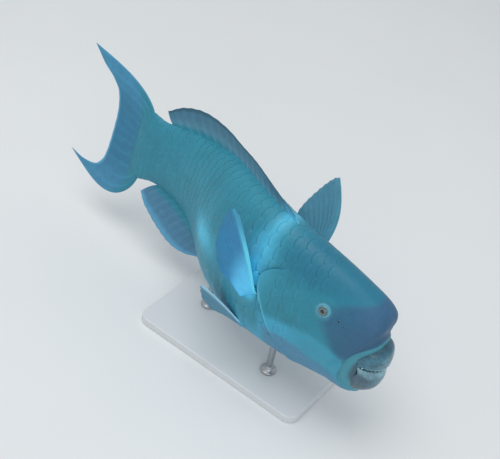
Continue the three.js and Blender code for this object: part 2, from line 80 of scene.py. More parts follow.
def curve_through(points):
    """Cubic through the points (x, y): between two of them, the blend of their heights and of slopes
    taken from the neighbours, where slope i is the rise from point i - 1 to i + 1 over its run."""
    x, y = np.array(points, float).T
    slope = np.empty_like(y)
    slope[1:-1] = (y[2:] - y[:-2]) / (x[2:] - x[:-2])
    slope[0] = (y[1] - y[0]) / (x[1] - x[0])
    slope[-1] = (y[-1] - y[-2]) / (x[-1] - x[-2])

    def curve(at):
        at = np.asarray(at, float)
        i = np.clip(np.searchsorted(x, at, side="right") - 1, 0, len(x) - 2)
        span = x[i + 1] - x[i]
        t = (at - x[i]) / span
        u = 1 - t
        ends = y[i] * u * u * (1 + 2 * t) + y[i + 1] * t * t * (3 - 2 * t)
        return ends + span * t * u * (slope[i] * u - slope[i + 1] * t)

    return curve


STEPS = np.arange(MIDLINE_LENGTH + 1)
HEADING = sum(turn * smooth(STEPS + 0.5, start, end) for turn, start, end in BENDS)
MID_X = SNOUT_X - np.concatenate([[0], np.cumsum(np.cos(HEADING))[:-1]])
MID_Y = SNOUT_Y - np.concatenate([[0], np.cumsum(np.sin(HEADING))[:-1]])


def place(s, n, z):
    """Fish coordinates to metres in the frame: turn (n, z) by the roll at s, then go out from the
    midline's point at s, square to its heading."""
    s, n, z = np.broadcast_arrays(*(np.asarray(a, float) for a in (s, n, z)))
    angle, start, end, fade_start, fade_end = TRUNK_ROLL
    roll = angle * (smooth(s, start, end) - smooth(s, fade_start, fade_end))
    roll = roll + TAIL_ROLL[0] * smooth(s, *TAIL_ROLL[1:])
    side = n * np.cos(roll) + z * np.sin(roll)
    height = z * np.cos(roll) - n * np.sin(roll)
    heading = np.interp(s, STEPS, HEADING)
    x = np.interp(s, STEPS, MID_X) - np.minimum(s, 0) - np.sin(heading) * side
    y = np.interp(s, STEPS, MID_Y) + np.cos(heading) * side
    return np.stack([x, y, AXIS_HEIGHT + height], axis=-1) * METRES


print("tail tip of the midline:", place(550, 0, 0).round(3))

# %% [markdown]
# A mesh needs points and faces. A grid of rows and columns gives both at once, and one function for
# all pieces keeps them alike: it welds a grid that goes all round, closes each open end with a point
# and turns the faces outwards by the sign of the volume. Ready-made mesh operators would need a
# different recipe for each piece.

# %% Mesh helpers
def srgb(red, green, blue):
    """A colour of 0 to 255 as linear light: ((c + 0.055) / 1.055) to the power 2.4, above 0.04."""
    c = np.array([red, green, blue], float) / 255
    return np.where(c > 0.04045, ((c + 0.055) / 1.055) ** 2.4, c / 12.92)


def grid_faces(rows, columns, first=0):
    """Quads of a grid whose points are numbered row by row."""
    i, j = np.meshgrid(np.arange(rows - 1), np.arange(columns - 1), indexing="ij")
    a = (first + i * columns + j).ravel()
    return np.stack([a, a + 1, a + 1 + columns, a + columns], axis=1)


def volume_of(points, faces):
    """Sum over fans of triangles of p . (q x r) / 6, which is positive if the faces point out."""
    total = 0.0
    for polygons in faces:
        for k in range(1, polygons.shape[1] - 1):
            p, q, r = (points[polygons[:, c]] for c in (0, k, k + 1))
            total += np.einsum("ij,ij->i", p, np.cross(q, r)).sum() / 6
    return total


def new_piece(name, points, faces, body="root", loop_uv=None, uv_name="UVMap", tint=None):
    """Puts points and polygons into a mesh object that rides on the body. faces is a list of arrays,
    one for each number of corners; loop_uv has one (u, v) for each corner, in the same order, and
    tint has one colour for each point."""
    points = np.asarray(points, float).reshape(-1, 3)
    if volume_of(points - points.mean(axis=0), faces) < 0:
        faces = [f[:, ::-1] for f in faces]
        if loop_uv is not None:
            loop_uv = [uv[:, ::-1] for uv in loop_uv]
    mesh = bpy.data.meshes.new(name)
    mesh.vertices.add(len(points))
    mesh.vertices.foreach_set("co", points.astype(np.float32).ravel())
    corners = np.concatenate([f.ravel() for f in faces]).astype(np.int32)
    sizes = np.concatenate([np.full(len(f), f.shape[1]) for f in faces])
    mesh.loops.add(len(corners))
    mesh.loops.foreach_set("vertex_index", corners)
    mesh.polygons.add(len(sizes))
    starts = np.concatenate([[0], np.cumsum(sizes)[:-1]]).astype(np.int32)
    mesh.polygons.foreach_set("loop_start", starts)
    mesh.polygons.foreach_set("use_smooth", np.ones(len(sizes), bool))
    mesh.update(calc_edges=True)
    if loop_uv is not None:
        layer = mesh.uv_layers.new(name=uv_name)
        flat = np.concatenate([uv.reshape(-1, 2) for uv in loop_uv])
        layer.data.foreach_set("uv", flat.astype(np.float32).ravel())
    if tint is not None:
        field = mesh.attributes.new("tint", "FLOAT_COLOR", "POINT")
        opaque = np.concatenate([tint, np.ones((len(tint), 1))], axis=1)
        field.data.foreach_set("color", opaque.astype(np.float32).ravel())
    piece = bpy.data.objects.new(name, mesh)
    bpy.context.scene.collection.objects.link(piece)
    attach(piece, body)
    print(name, len(points), "points,", int((sizes - 2).sum()), "triangles")
    return piece


def tube_piece(name, points, ends, uv=None, tint=None):
    """A grid of rows of points that goes all round, closed by one point at each end."""
    rows, around = points.shape[:2]
    quads = grid_faces(rows, around + 1)
    weld = (np.arange(rows)[:, None] * around + np.arange(around + 1)[None, :] % around).ravel()
    first, last = rows * around, rows * around + 1
    ring = np.arange(around)
    following = (ring + 1) % around
    start = np.stack([np.full(around, first), following, ring], axis=1)
    base = (rows - 1) * around
    finish = np.stack([np.full(around, last), base + ring, base + following], axis=1)
    loop_uv = None
    if uv is not None:
        flat = uv.reshape(-1, 2)
        tip = (ring + 0.5) / around
        wide = rows * (around + 1) - around - 1
        start_tip = np.stack([tip, 0 * tip], axis=1)
        finish_tip = np.stack([tip, 0 * tip + 1], axis=1)
        start_uv = np.stack([start_tip, flat[ring + 1], flat[ring]], axis=1)
        finish_uv = np.stack([finish_tip, flat[wide + ring], flat[wide + ring + 1]], axis=1)
        loop_uv = [flat[quads], start_uv, finish_uv]
    solid = np.concatenate([points.reshape(-1, 3), np.asarray(ends)])
    return new_piece(name, solid, [weld[quads], start, finish], loop_uv=loop_uv, tint=tint)


def plate_piece(name, middle, half, tint, uv):
    """A thin closed plate: the middle grid moved both ways along its normals by half its thickness."""
    rows, columns = middle.shape[:2]
    across = np.gradient(middle, axis=1)
    normal = np.cross(np.gradient(middle, axis=0), across)
    normal /= np.linalg.norm(normal, axis=-1, keepdims=True) + 1e-12
    offset = normal * (half * METRES)[..., None]
    points = np.concatenate([(middle + offset).reshape(-1, 3), (middle - offset).reshape(-1, 3)])
    count = rows * columns
    top = grid_faces(rows, columns)
    bottom = top[:, ::-1] + count
    edges = [np.arange(columns), np.arange(rows) * columns + columns - 1,
             np.arange(columns)[::-1] + count - columns, np.arange(rows)[::-1] * columns]
    rim = np.concatenate([np.stack([e[1:], e[:-1], e[:-1] + count, e[1:] + count], axis=1) for e in edges])
    faces = [np.concatenate([top, bottom, rim])]
    both = np.concatenate([uv.reshape(-1, 2)] * 2)
    tints = np.concatenate([tint.reshape(-1, 3)] * 2)
    return new_piece(name, points, faces, loop_uv=[both[faces[0]]], tint=tints)


# %% [markdown]
# A finish is one Principled shader. The colour of a marking is worked out with the shape and kept on
# the points as an attribute called tint, so that skin and scales agree wherever they meet; the
# shader adds what is finer than the mesh: mottling, pores, the streaks along a fin ray. Painting an
# image would do it too, but a formula has no resolution and needs no file.

# %% Materials
class Finish:
    """A material with one Principled shader, whose plain numbers are set on its own sockets."""

    def __init__(self, name, **sockets):
        self.material = bpy.data.materials.new(name)
        self.material.use_nodes = True
        self.nodes = self.material.node_tree.nodes
        self.links = self.material.node_tree.links
        self.shader = self.nodes["Principled BSDF"]
        for key, value in sockets.items():
            self.shader.inputs[key.replace("_", " ")].default_value = value

    def node(self, kind, settings=(), **values):
        """A node of the kind, each input a link or a plain value; i0, i1 and so on are inputs by number."""
        made = self.nodes.new(kind)
        for key, value in dict(settings).items():
            setattr(made, key, value)
        for key, value in values.items():
            socket = made.inputs[int(key[1:])] if key[0] == "i" and key[1:].isdigit() else made.inputs[key]
            if hasattr(value, "links"):
                self.links.new(value, socket)
            else:
                socket.default_value = value
        return made

    def coordinates(self, scale, kind="Object"):
        """Points of the piece, or its UV map, stretched by a factor for each axis."""
        source = self.node("ShaderNodeTexCoord").outputs[kind]
        mapping = self.node("ShaderNodeMapping", Vector=source, Scale=scale)
        return mapping.outputs["Vector"]

    def noise(self, scale, stretch=(1, 1, 1), kind="Object", detail=3.0, roughness=0.55):
        """Cloudy noise from 0 to 1, mostly between 0.3 and 0.7; scale is its number of clouds per unit."""
        where = self.coordinates(stretch, kind)
        return self.node("ShaderNodeTexNoise", Vector=where, Scale=scale, Detail=detail,
                         Roughness=roughness).outputs["Fac"]

    def spread(self, value, low, high, source_low=0.3, source_high=0.7):
        """Maps a value from one range to another."""
        return self.node("ShaderNodeMapRange", i0=value, i1=source_low, i2=source_high, i3=low,
                         i4=high).outputs["Result"]

    def scaled(self, colour, factor):
        """A colour times a number."""
        node = self.node("ShaderNodeVectorMath", {"operation": "SCALE"}, i0=colour, Scale=factor)
        return node.outputs["Vector"]

    def attribute(self, name):
        """A colour that is kept on the points."""
        return self.node("ShaderNodeAttribute", {"attribute_name": name}).outputs["Color"]

    def bump(self, height, strength, distance):
        """Fine relief of the height, distance metres deep."""
        node = self.node("ShaderNodeBump", Height=height, Strength=strength, Distance=distance)
        self.links.new(node.outputs["Normal"], self.shader.inputs["Normal"])

    def connect(self, value, socket):
        self.links.new(value, self.shader.inputs[socket])

    def put_on(self, *pieces):
        for piece in pieces:
            piece.data.materials.clear()
            piece.data.materials.append(self.material)


def rgba(colour):
    return (*[float(c) for c in colour], 1.0)


def skin_finish(name, roughness, pore_scale, pore_depth):
    """Wet skin: tint with soft mottling in two sizes, and fine pores in its bump."""
    finish = Finish(name, Roughness=roughness, Coat_Weight=0.06, Coat_Roughness=0.3, Specular_IOR_Level=0.3)
    wide = finish.spread(finish.noise(scale=28.0), low=0.95, high=1.06)
    fine = finish.spread(finish.noise(scale=330.0, detail=4.0), low=0.94, high=1.06)
    tint = finish.scaled(finish.scaled(finish.attribute("tint"), wide), fine)
    finish.connect(tint, "Base Color")
    uneven = finish.spread(finish.noise(scale=90.0), low=roughness - 0.07, high=roughness + 0.07)
    finish.connect(uneven, "Roughness")
    finish.bump(finish.noise(pore_scale, detail=5.0), strength=0.5, distance=pore_depth)
    return finish


skin = skin_finish("fish_skin", roughness=0.5, pore_scale=1100.0, pore_depth=0.00018)
scale_skin = skin_finish("fish_scales", roughness=0.46, pore_scale=1500.0, pore_depth=0.00012)
print("skin finishes ready")

# %% [markdown]
# The body is a row of rings. A ring is a squared ellipse with a keel below, and at the muzzle its
# sides sweep back so that the rings lean from the lips up to the steep forehead. The same curves
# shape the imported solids, so the skin lies on them all over.

# %% Body sections
TOP = [(62, 67), (85, 72.9), (130, 81.3), (185, 84.4), (240, 81), (290, 71.8), (335, 59.9),
       (380, 48.4), (408, 43.4), (430, 46.5), (446, 49)]
BOTTOM = [(62, -75.6), (100, -80), (150, -81), (200, -80), (250, -76), (300, -64), (345, -49),
          (385, -41), (408, -40.5), (430, -47), (446, -51)]
HALF_WIDTH = [(62, 35), (100, 37.9), (150, 39), (200, 40), (250, 38.6), (300, 30), (350, 18),
              (400, 10.5), (430, 7), (446, 1.6)]
SECTION_POWER = 2.15
MUZZLE = {
    "top_s": [15.7, 17.6, 17.2, 15.8, 19.4, 33, 62],
    "top_z": [7, 15, 25, 36, 46.5, 56.5, 67],
    "bottom_s": [24, 29, 35, 41, 47.5, 54, 62],
    "bottom_z": [-66, -71, -73, -74.2, -75, -75.4, -75.6],
    "width": [30, 32, 33.1, 33.8, 34, 34.4, 35],
    "sweep": [23, 20.5, 17, 14, 10.5, 6, 0],
    "power": [3, 2.85, 2.75, 2.65, 2.45, 2.3, SECTION_POWER],
    "keel": [0.42, 0.37, 0.31, 0.25, 0.18, 0.11, 0.05],
}
FACE_END = 62.0
KEEL_FADES_AT = 120.0
SWEEP_POWER = 3.0
JAW_SWEEP = 0.5
GILL_EDGE = [(-1, 97), (-0.7, 113), (-0.38, 133), (0, 149), (0.16, 154.5), (0.34, 154), (0.5, 145),
             (0.62, 132), (0.76, 123), (1, 119)]
GILL_FLAP = 1.5
# Shares of the height between which the gill cover starts to stand off, and stops.
GILL_FLAP_RISES = (-1, -0.8)
GILL_FLAP_FALLS = (0.5, 0.66)

top_line = curve_through(TOP)
bottom_line = curve_through(BOTTOM)
width_line = curve_through(HALF_WIDTH)
gill_line = curve_through(GILL_EDGE)
muzzle_lines = {key: curve_through(list(enumerate(values))) for key, values in MUZZLE.items()}


def signed_power(x, power):
    return np.sign(x) * np.abs(x) ** power


def trunk_ring(s):
    """Upright ring at s, whose keel fades out behind the face."""
    s = np.asarray(s, float)
    keel = MUZZLE["keel"][-1] * (1 - smooth(s, FACE_END, KEEL_FADES_AT))
    return {"top_s": s, "bottom_s": s, "top_z": top_line(s), "bottom_z": bottom_line(s),
            "width": width_line(s), "sweep": 0 * s, "power": SECTION_POWER + 0 * s, "keel": keel}


def ring_point(ring, turn):
    """Point of a ring: across and up are the signed powers 2/p of cos and sin of the turn; the keel
    narrows the lower half by k up^2, and the sides sweep back by the cube of across."""
    across = signed_power(np.cos(turn), 2 / ring["power"])
    up = signed_power(np.sin(turn), 2 / ring["power"])
    low = up < 0
    keel = np.where(low, 1 - ring["keel"] * up * up, 1)
    swept = ring["sweep"] * np.where(low, 1 - JAW_SWEEP * up * up, 1) * np.abs(across) ** SWEEP_POWER
    s = (ring["top_s"] + ring["bottom_s"]) / 2 + (ring["top_s"] - ring["bottom_s"]) / 2 * up + swept
    z = (ring["top_z"] + ring["bottom_z"]) / 2 + (ring["top_z"] - ring["bottom_z"]) / 2 * up
    return s, ring["width"] * across * keel, z


def height_share(turn):
    """Height on a ring from -1 at the belly to 1 at the back."""
    return signed_power(np.sin(turn), 2 / SECTION_POWER)


def gill_lift(turn):
    """How far the gill cover stands off the body: nothing at the throat and the nape."""
    up = height_share(turn)
    return GILL_FLAP * smooth(up, *GILL_FLAP_RISES) * (1 - smooth(up, *GILL_FLAP_FALLS))


def flank_width(s, z):
    """Half width of the body at a distance and a height."""
    half = (top_line(s) - bottom_line(s)) / 2
    up = np.clip((z - (top_line(s) + bottom_line(s)) / 2) / half, -0.995, 0.995)
    return width_line(s) * (1 - np.abs(up) ** SECTION_POWER) ** (1 / SECTION_POWER)


print("girth at s 200:", round(float(top_line(200) - bottom_line(200)), 1), "x",
      round(2 * float(width_line(200)), 1), "mm")

# %% [markdown]
# The markings come next, as they colour skin and scales alike: a blue-violet snout, a turquoise band
# over the lower cheek, a violet-grey throat, a pale bar behind the head that is partly a marking and
# partly a caustic's light painted in, and a pale patch on the flank. Painted light and shade go in
# with them: a greyer keel below the belly that is partly painted shade, and a painted glint in front
# of the pectoral fin. Each is a mask from distances in (s, z), and both flanks get the same, as on the fish.

# %% Markings
BACK = srgb(46, 132, 153)
FLANK = srgb(48, 138, 160)
HEAD = srgb(46, 134, 155)
HEAD_TOP = srgb(36, 114, 140)
SNOUT = srgb(54, 98, 131)
SNOUT_SIDE = srgb(50, 102, 132)
BAND = srgb(60, 152, 178)
OPERCLE_LOW = srgb(64, 162, 194)
THROAT = srgb(78, 138, 170)
BELLY = srgb(70, 162, 194)
# The keel's colour: the underside's own greyer tone, and partly painted shade below the belly.
BELLY_KEEL_SHADE = srgb(72, 154, 188)
# A pale bar, partly a marking and partly a caustic's light painted in.
PALE_BAR_AND_CAUSTIC = srgb(84, 186, 220)
# A painted glint: light painted bright on the flank just in front of the pectoral root.
PAINTED_GLINT = srgb(86, 212, 255)
PATCH = srgb(84, 204, 238)
LIP = srgb(72, 148, 166)
EYE_RIM = srgb(84, 150, 172)
MOUTH_INSIDE = srgb(68, 98, 114)
GILL_MARGIN = srgb(100, 196, 226)
GILL_SHADE = srgb(40, 104, 130)
STEM = srgb(48, 132, 154)

EYE = {"s": 79.5, "z": 33.0, "radius": 7.9, "bulge": 0.42}
BAND_TOP = curve_through([(20, -16), (35, -12), (50, -11), (66, -6), (88, -3), (110, -8), (135, -14),
                          (150, -16)])
BAND_LOW = curve_through([(20, -66), (34, -57), (53, -44), (78, -37), (105, -31), (133, -32), (150, -32)])
BAND_SPAN = (20, 150)
SNOUT_EDGE = curve_through([(-30, 49), (-12, 57), (2, 66), (16, 76), (29, 77), (40, 72), (48, 62), (54, 44),
                            (62, 20)])
SNOUT_SPAN = (-30, 62)
# The pale bar behind the head, partly a marking and partly a caustic's light painted in: its middle line,
# span, width and how it flares, starts and weakens.
BAR_MIDDLE = curve_through([(-40, 176), (10, 171), (48, 165), (84, 162)])
BAR_SPAN = (-40, 84)
BAR_WIDTH = 9
BAR_FLARE = 8
BAR_START = 130
BAR_SHARE = 0.9
BAR_WEAKENING = 0.15
# How much of the keel takes its greyer colour, partly painted shade.
KEEL_SHADE_SHARE = 0.8
# The painted glint before the pectoral root: a pool of light along a path, with its width and share.
GLINT_PATH = [(166, 34), (160, 12), (160, -4)]
GLINT_WIDTH = 6
GLINT_SHARE = 0.8
SPOT = {"s": 250, "z": -4, "length": 26, "height": 18, "blur": 0.9, "share": 0.85}
EYE_RING = {"radius": 8, "width": 1.8, "share": 0.6}
# Where each marking, the painted shade and the painted glint fade in or out, in mm along the body, up it
# or from the marking's edge.
FADES = {
    "back_up": (10, 70), "head_top_up": (34, 62), "head_ends": (120, 165), "belly_down": (-66, -36),
    "belly_starts": (100, 140), "keel_down": (-76, -58), "keel_starts": (120, 170), "stem_starts": (330, 400),
    "throat_edge": (-1.5, 3.5), "throat_ends": (134, 146), "band_edge": (-5, 6), "band_ends": (142, 150),
    "opercle_starts": (90, 120), "snout_edge": (-9, 11), "snout_up": (-24, -8), "snout_front": (28, 58),
    "bar_flares": (40, 84), "bar_weakens": (50, 80), "bar_up": (-34, 4), "glint_starts": (148, 156),
}


def distance_to(path, x, y):
    """Distance from points to a broken line, the least of the distances to its straight parts."""
    nearest = np.full(np.shape(x), np.inf)
    for (ax, ay), (bx, by) in zip(path, path[1:]):
        run, rise = bx - ax, by - ay
        t = np.clip(((x - ax) * run + (y - ay) * rise) / (run * run + rise * rise), 0, 1)
        nearest = np.minimum(nearest, np.hypot(x - ax - t * run, y - ay - t * rise))
    return nearest


def toward(colour, other, share):
    """Mixes colours by a share at each point."""
    share = np.asarray(share)[..., None]
    return colour * (1 - share) + other * share


def rising(x, name):
    """From 0 to 1 over the stretch that FADES names."""
    return smooth(x, *FADES[name])


def falling(x, name):
    """From 1 to 0 over the same stretch."""
    return 1 - rising(x, name)


def paint(s, z):
    """Colour of the skin at a point, marking over marking, with painted light and shade among them: shade
    on the keel, a caustic's light in the pale bar and a glint before the pectoral root.
    """
    plain = np.zeros((*np.shape(s), 3))
    colour = toward(FLANK + plain, BACK, rising(z, "back_up"))
    head = toward(HEAD + plain, HEAD_TOP, rising(z, "head_top_up"))
    colour = toward(colour, head, falling(s, "head_ends"))
    colour = toward(colour, BELLY, falling(z, "belly_down") * rising(s, "belly_starts"))
    # The keel below the belly turns greyer: partly its own tone, partly painted shade.
    keel = falling(z, "keel_down") * rising(s, "keel_starts")
    colour = toward(colour, BELLY_KEEL_SHADE, KEEL_SHADE_SHARE * keel)
    colour = toward(colour, STEM, rising(s, "stem_starts"))
    snout = toward(SNOUT_SIDE + plain, SNOUT, falling(s, "snout_front"))
    in_snout = rising(SNOUT_EDGE(np.clip(z, *SNOUT_SPAN)) - s, "snout_edge") * rising(z, "snout_up")
    colour = toward(colour, snout, in_snout)
    along = np.clip(s, *BAND_SPAN)
    band = toward(BAND + plain, OPERCLE_LOW, rising(s, "opercle_starts"))
    colour = toward(colour, band, rising(BAND_TOP(along) - z, "band_edge") * falling(s, "band_ends"))
    colour = toward(colour, THROAT, rising(BAND_LOW(along) - z, "throat_edge") * falling(s, "throat_ends"))
    off_eye = np.hypot(s - EYE["s"], z - EYE["z"])
    ring = bell(off_eye - EYE_RING["radius"], EYE_RING["width"])
    colour = toward(colour, EYE_RIM, EYE_RING["share"] * ring)
    # The pale bar: partly a marking, partly a caustic's light painted in.
    bar = bell(s - BAR_MIDDLE(np.clip(z, *BAR_SPAN)), BAR_WIDTH + BAR_FLARE * falling(z, "bar_flares"))
    bar = bar * rising(z, "bar_up") * (s > BAR_START)
    colour = toward(colour, PALE_BAR_AND_CAUSTIC, (BAR_SHARE - BAR_WEAKENING * rising(z, "bar_weakens")) * bar)
    spot = np.hypot((s - SPOT["s"]) / SPOT["length"], (z - SPOT["z"]) / SPOT["height"])
    colour = toward(colour, PATCH, SPOT["share"] * bell(spot, SPOT["blur"]))
    # A painted glint: a pool of light painted bright just in front of the pectoral root.
    foot = bell(distance_to(GLINT_PATH, s, z), GLINT_WIDTH) * rising(s, "glint_starts")
    return toward(colour, PAINTED_GLINT, GLINT_SHARE * foot)


print("markings at the flank:", paint(200.0, 0.0).round(3))

# %% [markdown]
# The skin's own relief is added along its normals: the swell of the jaw muscle, the groove in front
# of the gill cover, folds at the corner of the mouth, the socket of the eye and the fleshy roots of
# the paired fins. Sculpting would do it by hand; a sum of bells and smooth steps does it exactly
# alike on both sides.

# %% Skin relief
PREOPERCLE = [(84, -40), (100, -30), (108, -8), (107, 14), (101, 30)]
MOUTH_FOLD = [(41, -14), (50, -19), (56, -28)]
PECTORAL_ROOT = [(151, -1), (166, -16)]
PELVIC_ROOT = [(165, 28), (174, 21)]
ROOT_RISE = 2.6
ROOT_WIDTH = 4.2
SIDES_START = (8, 16)
JAW_MUSCLE = {"s": 72, "z": -6, "length": 20, "height": 18, "rise": 1.3}
BROW = {"radius": 11.5, "width": 2.8, "rise": 0.9}
SOCKET_DEPTH = 3.2
SOCKET_EDGE = (4.2, 7.4)
UNDERSIDE = -40
# Folds of the sides: path, how far ahead and below of it, rise and width.
SIDE_FOLDS = [
    (PREOPERCLE, 0, 0, -0.7, 2.6), (PREOPERCLE, 5, 0, 0.5, 3.5), (MOUTH_FOLD, 0, 0, -1.3, 2.2),
    (MOUTH_FOLD, -5, -1, 0.8, 3.2), (PECTORAL_ROOT, 0, 0, ROOT_RISE, ROOT_WIDTH),
]
# Folds along the middle of the back and of the underside: rise, width, start and end.
BACK_FOLDS = [(0.9, 2.6, (144, 156), (398, 410))]
UNDERSIDE_FOLDS = [(0.9, 2.6, (278, 288), (398, 410)), (-0.8, 2.4, (50, 66), (88, 112))]


def middle_folds(folds, s, n):
    """Sum of bells across the middle line, each between its start and its end."""
    return sum(rise * bell(n, width) * smooth(s, *start) * (1 - smooth(s, *end))
               for rise, width, start, end in folds)


def relief(s, n, z):
    """Height in mm that the skin gains over the plain rings."""
    along = (s - JAW_MUSCLE["s"]) / JAW_MUSCLE["length"]
    upward = (z - JAW_MUSCLE["z"]) / JAW_MUSCLE["height"]
    side = JAW_MUSCLE["rise"] * bell(np.hypot(along, upward), 1)
    for path, ahead, below, rise, width in SIDE_FOLDS:
        side = side + rise * bell(distance_to(path, s + ahead, z + below), width)
    eye = np.hypot(s - EYE["s"], z - EYE["z"])
    side = side + BROW["rise"] * bell(eye - BROW["radius"], BROW["width"])
    side = side - SOCKET_DEPTH * (1 - smooth(eye, *SOCKET_EDGE))
    under = ROOT_RISE * bell(distance_to(PELVIC_ROOT, s, np.abs(n)), ROOT_WIDTH)
    under = under + middle_folds(UNDERSIDE_FOLDS, s, n)
    back = middle_folds(BACK_FOLDS, s, n)
    return side * smooth(np.abs(n), *SIDES_START) + under * (z < UNDERSIDE) + back * (z > 0)


print("skin at the middle of the eye socket:", relief(EYE["s"], EYE["z"], EYE["z"]).round(2), "mm")

# %% [markdown]
# The skin is one closed surface, from the floor of the mouth out over the lips, back over the face
# and the gill cover, down the step behind the cover and on to the tail stem. Several pieces would
# show seams where they meet; rows that follow the gill edge let one surface carry the step.

# %% Skin
AROUND = 232
MOUTH_FLOOR = np.array([30.0, 0.0, -20.0])
MOUTH_BACK = curve_through([(0, 0), (0.5, 0), (0.76, -1), (0.9, -2.2), (1, 0)])
MOUTH_WEB = curve_through([(0, 0), (0.3, -5), (0.5, -10), (0.76, -9), (0.9, -3), (1, 0)])
MOUTH_ROWS = np.array([0.06, 0.2, 0.35, 0.5, 0.6, 0.68, 0.74, 0.79, 0.83, 0.87, 0.9, 0.93, 0.96, 0.985])
MUZZLE_ROWS = 78
MUZZLE_CROWDING = 1.15
HEAD_ROWS = 66
HEAD_CROWDING = 0.85
FLAP_FROM = 0.8
# The step behind the gill cover: distance behind its edge, and height in shares of the flap.
GILL_STEP = np.array([(0.25, 0.7), (0.35, 0.0), (0.5, -0.75)])
TRUNK_ROWS = 206
TRUNK_START = 1.0
TRUNK_END = 446.0
TRUNK_CROWDING = 1.2
TRUNK_SINKS = -0.8
TRUNK_LEVELS_AT = 0.05
TRUNK_CAP = (TRUNK_END + 0.6, 0, -1)
BEHIND_MUZZLE = 9.0
TURN = (-np.pi / 2 + 2 * np.pi * np.arange(AROUND) / AROUND)[None, :]
# The next three hold the lower lip's value and the upper lip's; places count the muzzle's rings.
LIP_ROLL = (0.7, 0.9)
LIP_GROOVE = (0.5, 0.9)
LIP_GROOVE_AT = (0.95, 1.25)
LIP_GROOVE_WIDTH = 0.22
LIP_ROLL_AT = 0.35
LIP_ROLL_WIDTH = 0.34
UPPER_LIP_FROM = (-0.25, 0.1)
# How far the lips' colour reaches, in the middle and at the corners of the mouth.
LIP_PAINT = (0.55, 0.95)
LIP_PAINT_BLUR = 0.25
INSIDE_FROM = (-0.18, -0.08)
MARGIN_TOP = (4, 26)
MARGIN_LOW = (-46, -24)
MARGIN_INSET = 0.9
MARGIN_WIDTH = 1.3
SHADE_STARTS = 0.3
SHADE_ENDS = (1.5, 5)
MARGIN_SHARE = 0.75
SHADE_SHARE = 0.9


def between(pair, share):
    """From the first number of a pair to its second."""
    return pair[0] * (1 - share) + pair[1] * share


def stack_rows(blocks):
    """Joins blocks of rows of (s, n, z, lift, m), each broadcast to the full width."""
    wide = [np.stack([np.broadcast_to(a, (b[0].shape[0], AROUND)) for a in b]) for b in blocks]
    return np.concatenate(wide, axis=1)


def skin_rows():
    """The rings from the floor of the mouth over the lips, the face, the gill cover and the trunk."""
    lips = ring_point({key: line(0.0) for key, line in muzzle_lines.items()}, TURN)
    share = MOUTH_ROWS[:, None]
    inside = [floor + (lip - floor) * share for floor, lip in zip(MOUTH_FLOOR, lips)]
    inside[0] = inside[0] + MOUTH_BACK(share) + MOUTH_WEB(share) * np.cos(TURN) ** 2
    mouth = (*inside, 0 * share, share - 1)
    m = (len(MUZZLE["top_s"]) - 1) * np.linspace(0, 1, MUZZLE_ROWS)[:, None] ** MUZZLE_CROWDING
    face = ring_point({key: line(m) for key, line in muzzle_lines.items()}, TURN)
    edge = gill_line(height_share(TURN))
    lift = gill_lift(TURN)
    share = (np.arange(1, HEAD_ROWS + 1) / HEAD_ROWS)[:, None] ** HEAD_CROWDING
    head = ring_point(trunk_ring(FACE_END + (edge - FACE_END) * share), TURN)
    head_lift = lift * smooth(share, FLAP_FROM, 1)
    behind, rise = GILL_STEP.T[..., None]
    step = ring_point(trunk_ring(edge + behind), TURN)
    share = (np.arange(TRUNK_ROWS) / (TRUNK_ROWS - 1))[:, None] ** TRUNK_CROWDING
    trunk = ring_point(trunk_ring(edge + TRUNK_START + (TRUNK_END - edge - TRUNK_START) * share), TURN)
    trunk_lift = TRUNK_SINKS * lift * (1 - smooth(share, 0.0, TRUNK_LEVELS_AT))
    late = np.array([BEHIND_MUZZLE])
    return stack_rows([mouth, (*face, 0 * m, m), (*head, head_lift, late), (*step, lift * rise, late),
                       (*trunk, trunk_lift, late)])


def lip_relief(m, up):
    """The lips: a roll over the first ring of the muzzle and a groove behind it."""
    upper = smooth(up, *UPPER_LIP_FROM)
    roll = between(LIP_ROLL, upper) * bell(m - LIP_ROLL_AT, LIP_ROLL_WIDTH)
    groove = between(LIP_GROOVE, upper) * bell(m - between(LIP_GROOVE_AT, upper), LIP_GROOVE_WIDTH)
    return roll - groove


def normals_of(points):
    """Unit normals of a grid that goes all round: the cross product of the steps along its rows and
    its columns, turned away from the middle of its middle row."""
    along = np.gradient(points, axis=0)
    around = np.roll(points, -1, axis=1) - np.roll(points, 1, axis=1)
    normal = np.cross(around, along)
    normal = normal / (np.linalg.norm(normal, axis=-1, keepdims=True) + 1e-12)
    middle = len(points) // 2
    out = points[middle] - points[middle].mean(axis=0)
    return normal * np.sign(np.sum(normal[middle] * out))


def skin_tint(s, z, m, turn):
    """The markings, with what only the skin has: the lips, the inside of the mouth, the pale margin
    of the gill cover and the shade behind it."""
    up = height_share(turn)
    lip_edge = between(LIP_PAINT, np.cos(turn) ** 2)
    tint = toward(paint(s, z), LIP, 1 - smooth(m, lip_edge, lip_edge + LIP_PAINT_BLUR))
    tint = toward(tint, MOUTH_INSIDE, 1 - smooth(m, *INSIDE_FROM))
    behind = s - gill_line(up)
    on_flap = gill_lift(turn) / GILL_FLAP
    margin = on_flap * (1 - smooth(z, *MARGIN_TOP)) * smooth(z, *MARGIN_LOW)
    margin = margin * bell(behind + MARGIN_INSET, MARGIN_WIDTH) * (behind <= SHADE_STARTS)
    tint = toward(tint, GILL_MARGIN, MARGIN_SHARE * margin)
    shade = on_flap * (behind > SHADE_STARTS) * (1 - smooth(behind, *SHADE_ENDS))
    return toward(tint, GILL_SHADE, SHADE_SHARE * shade)


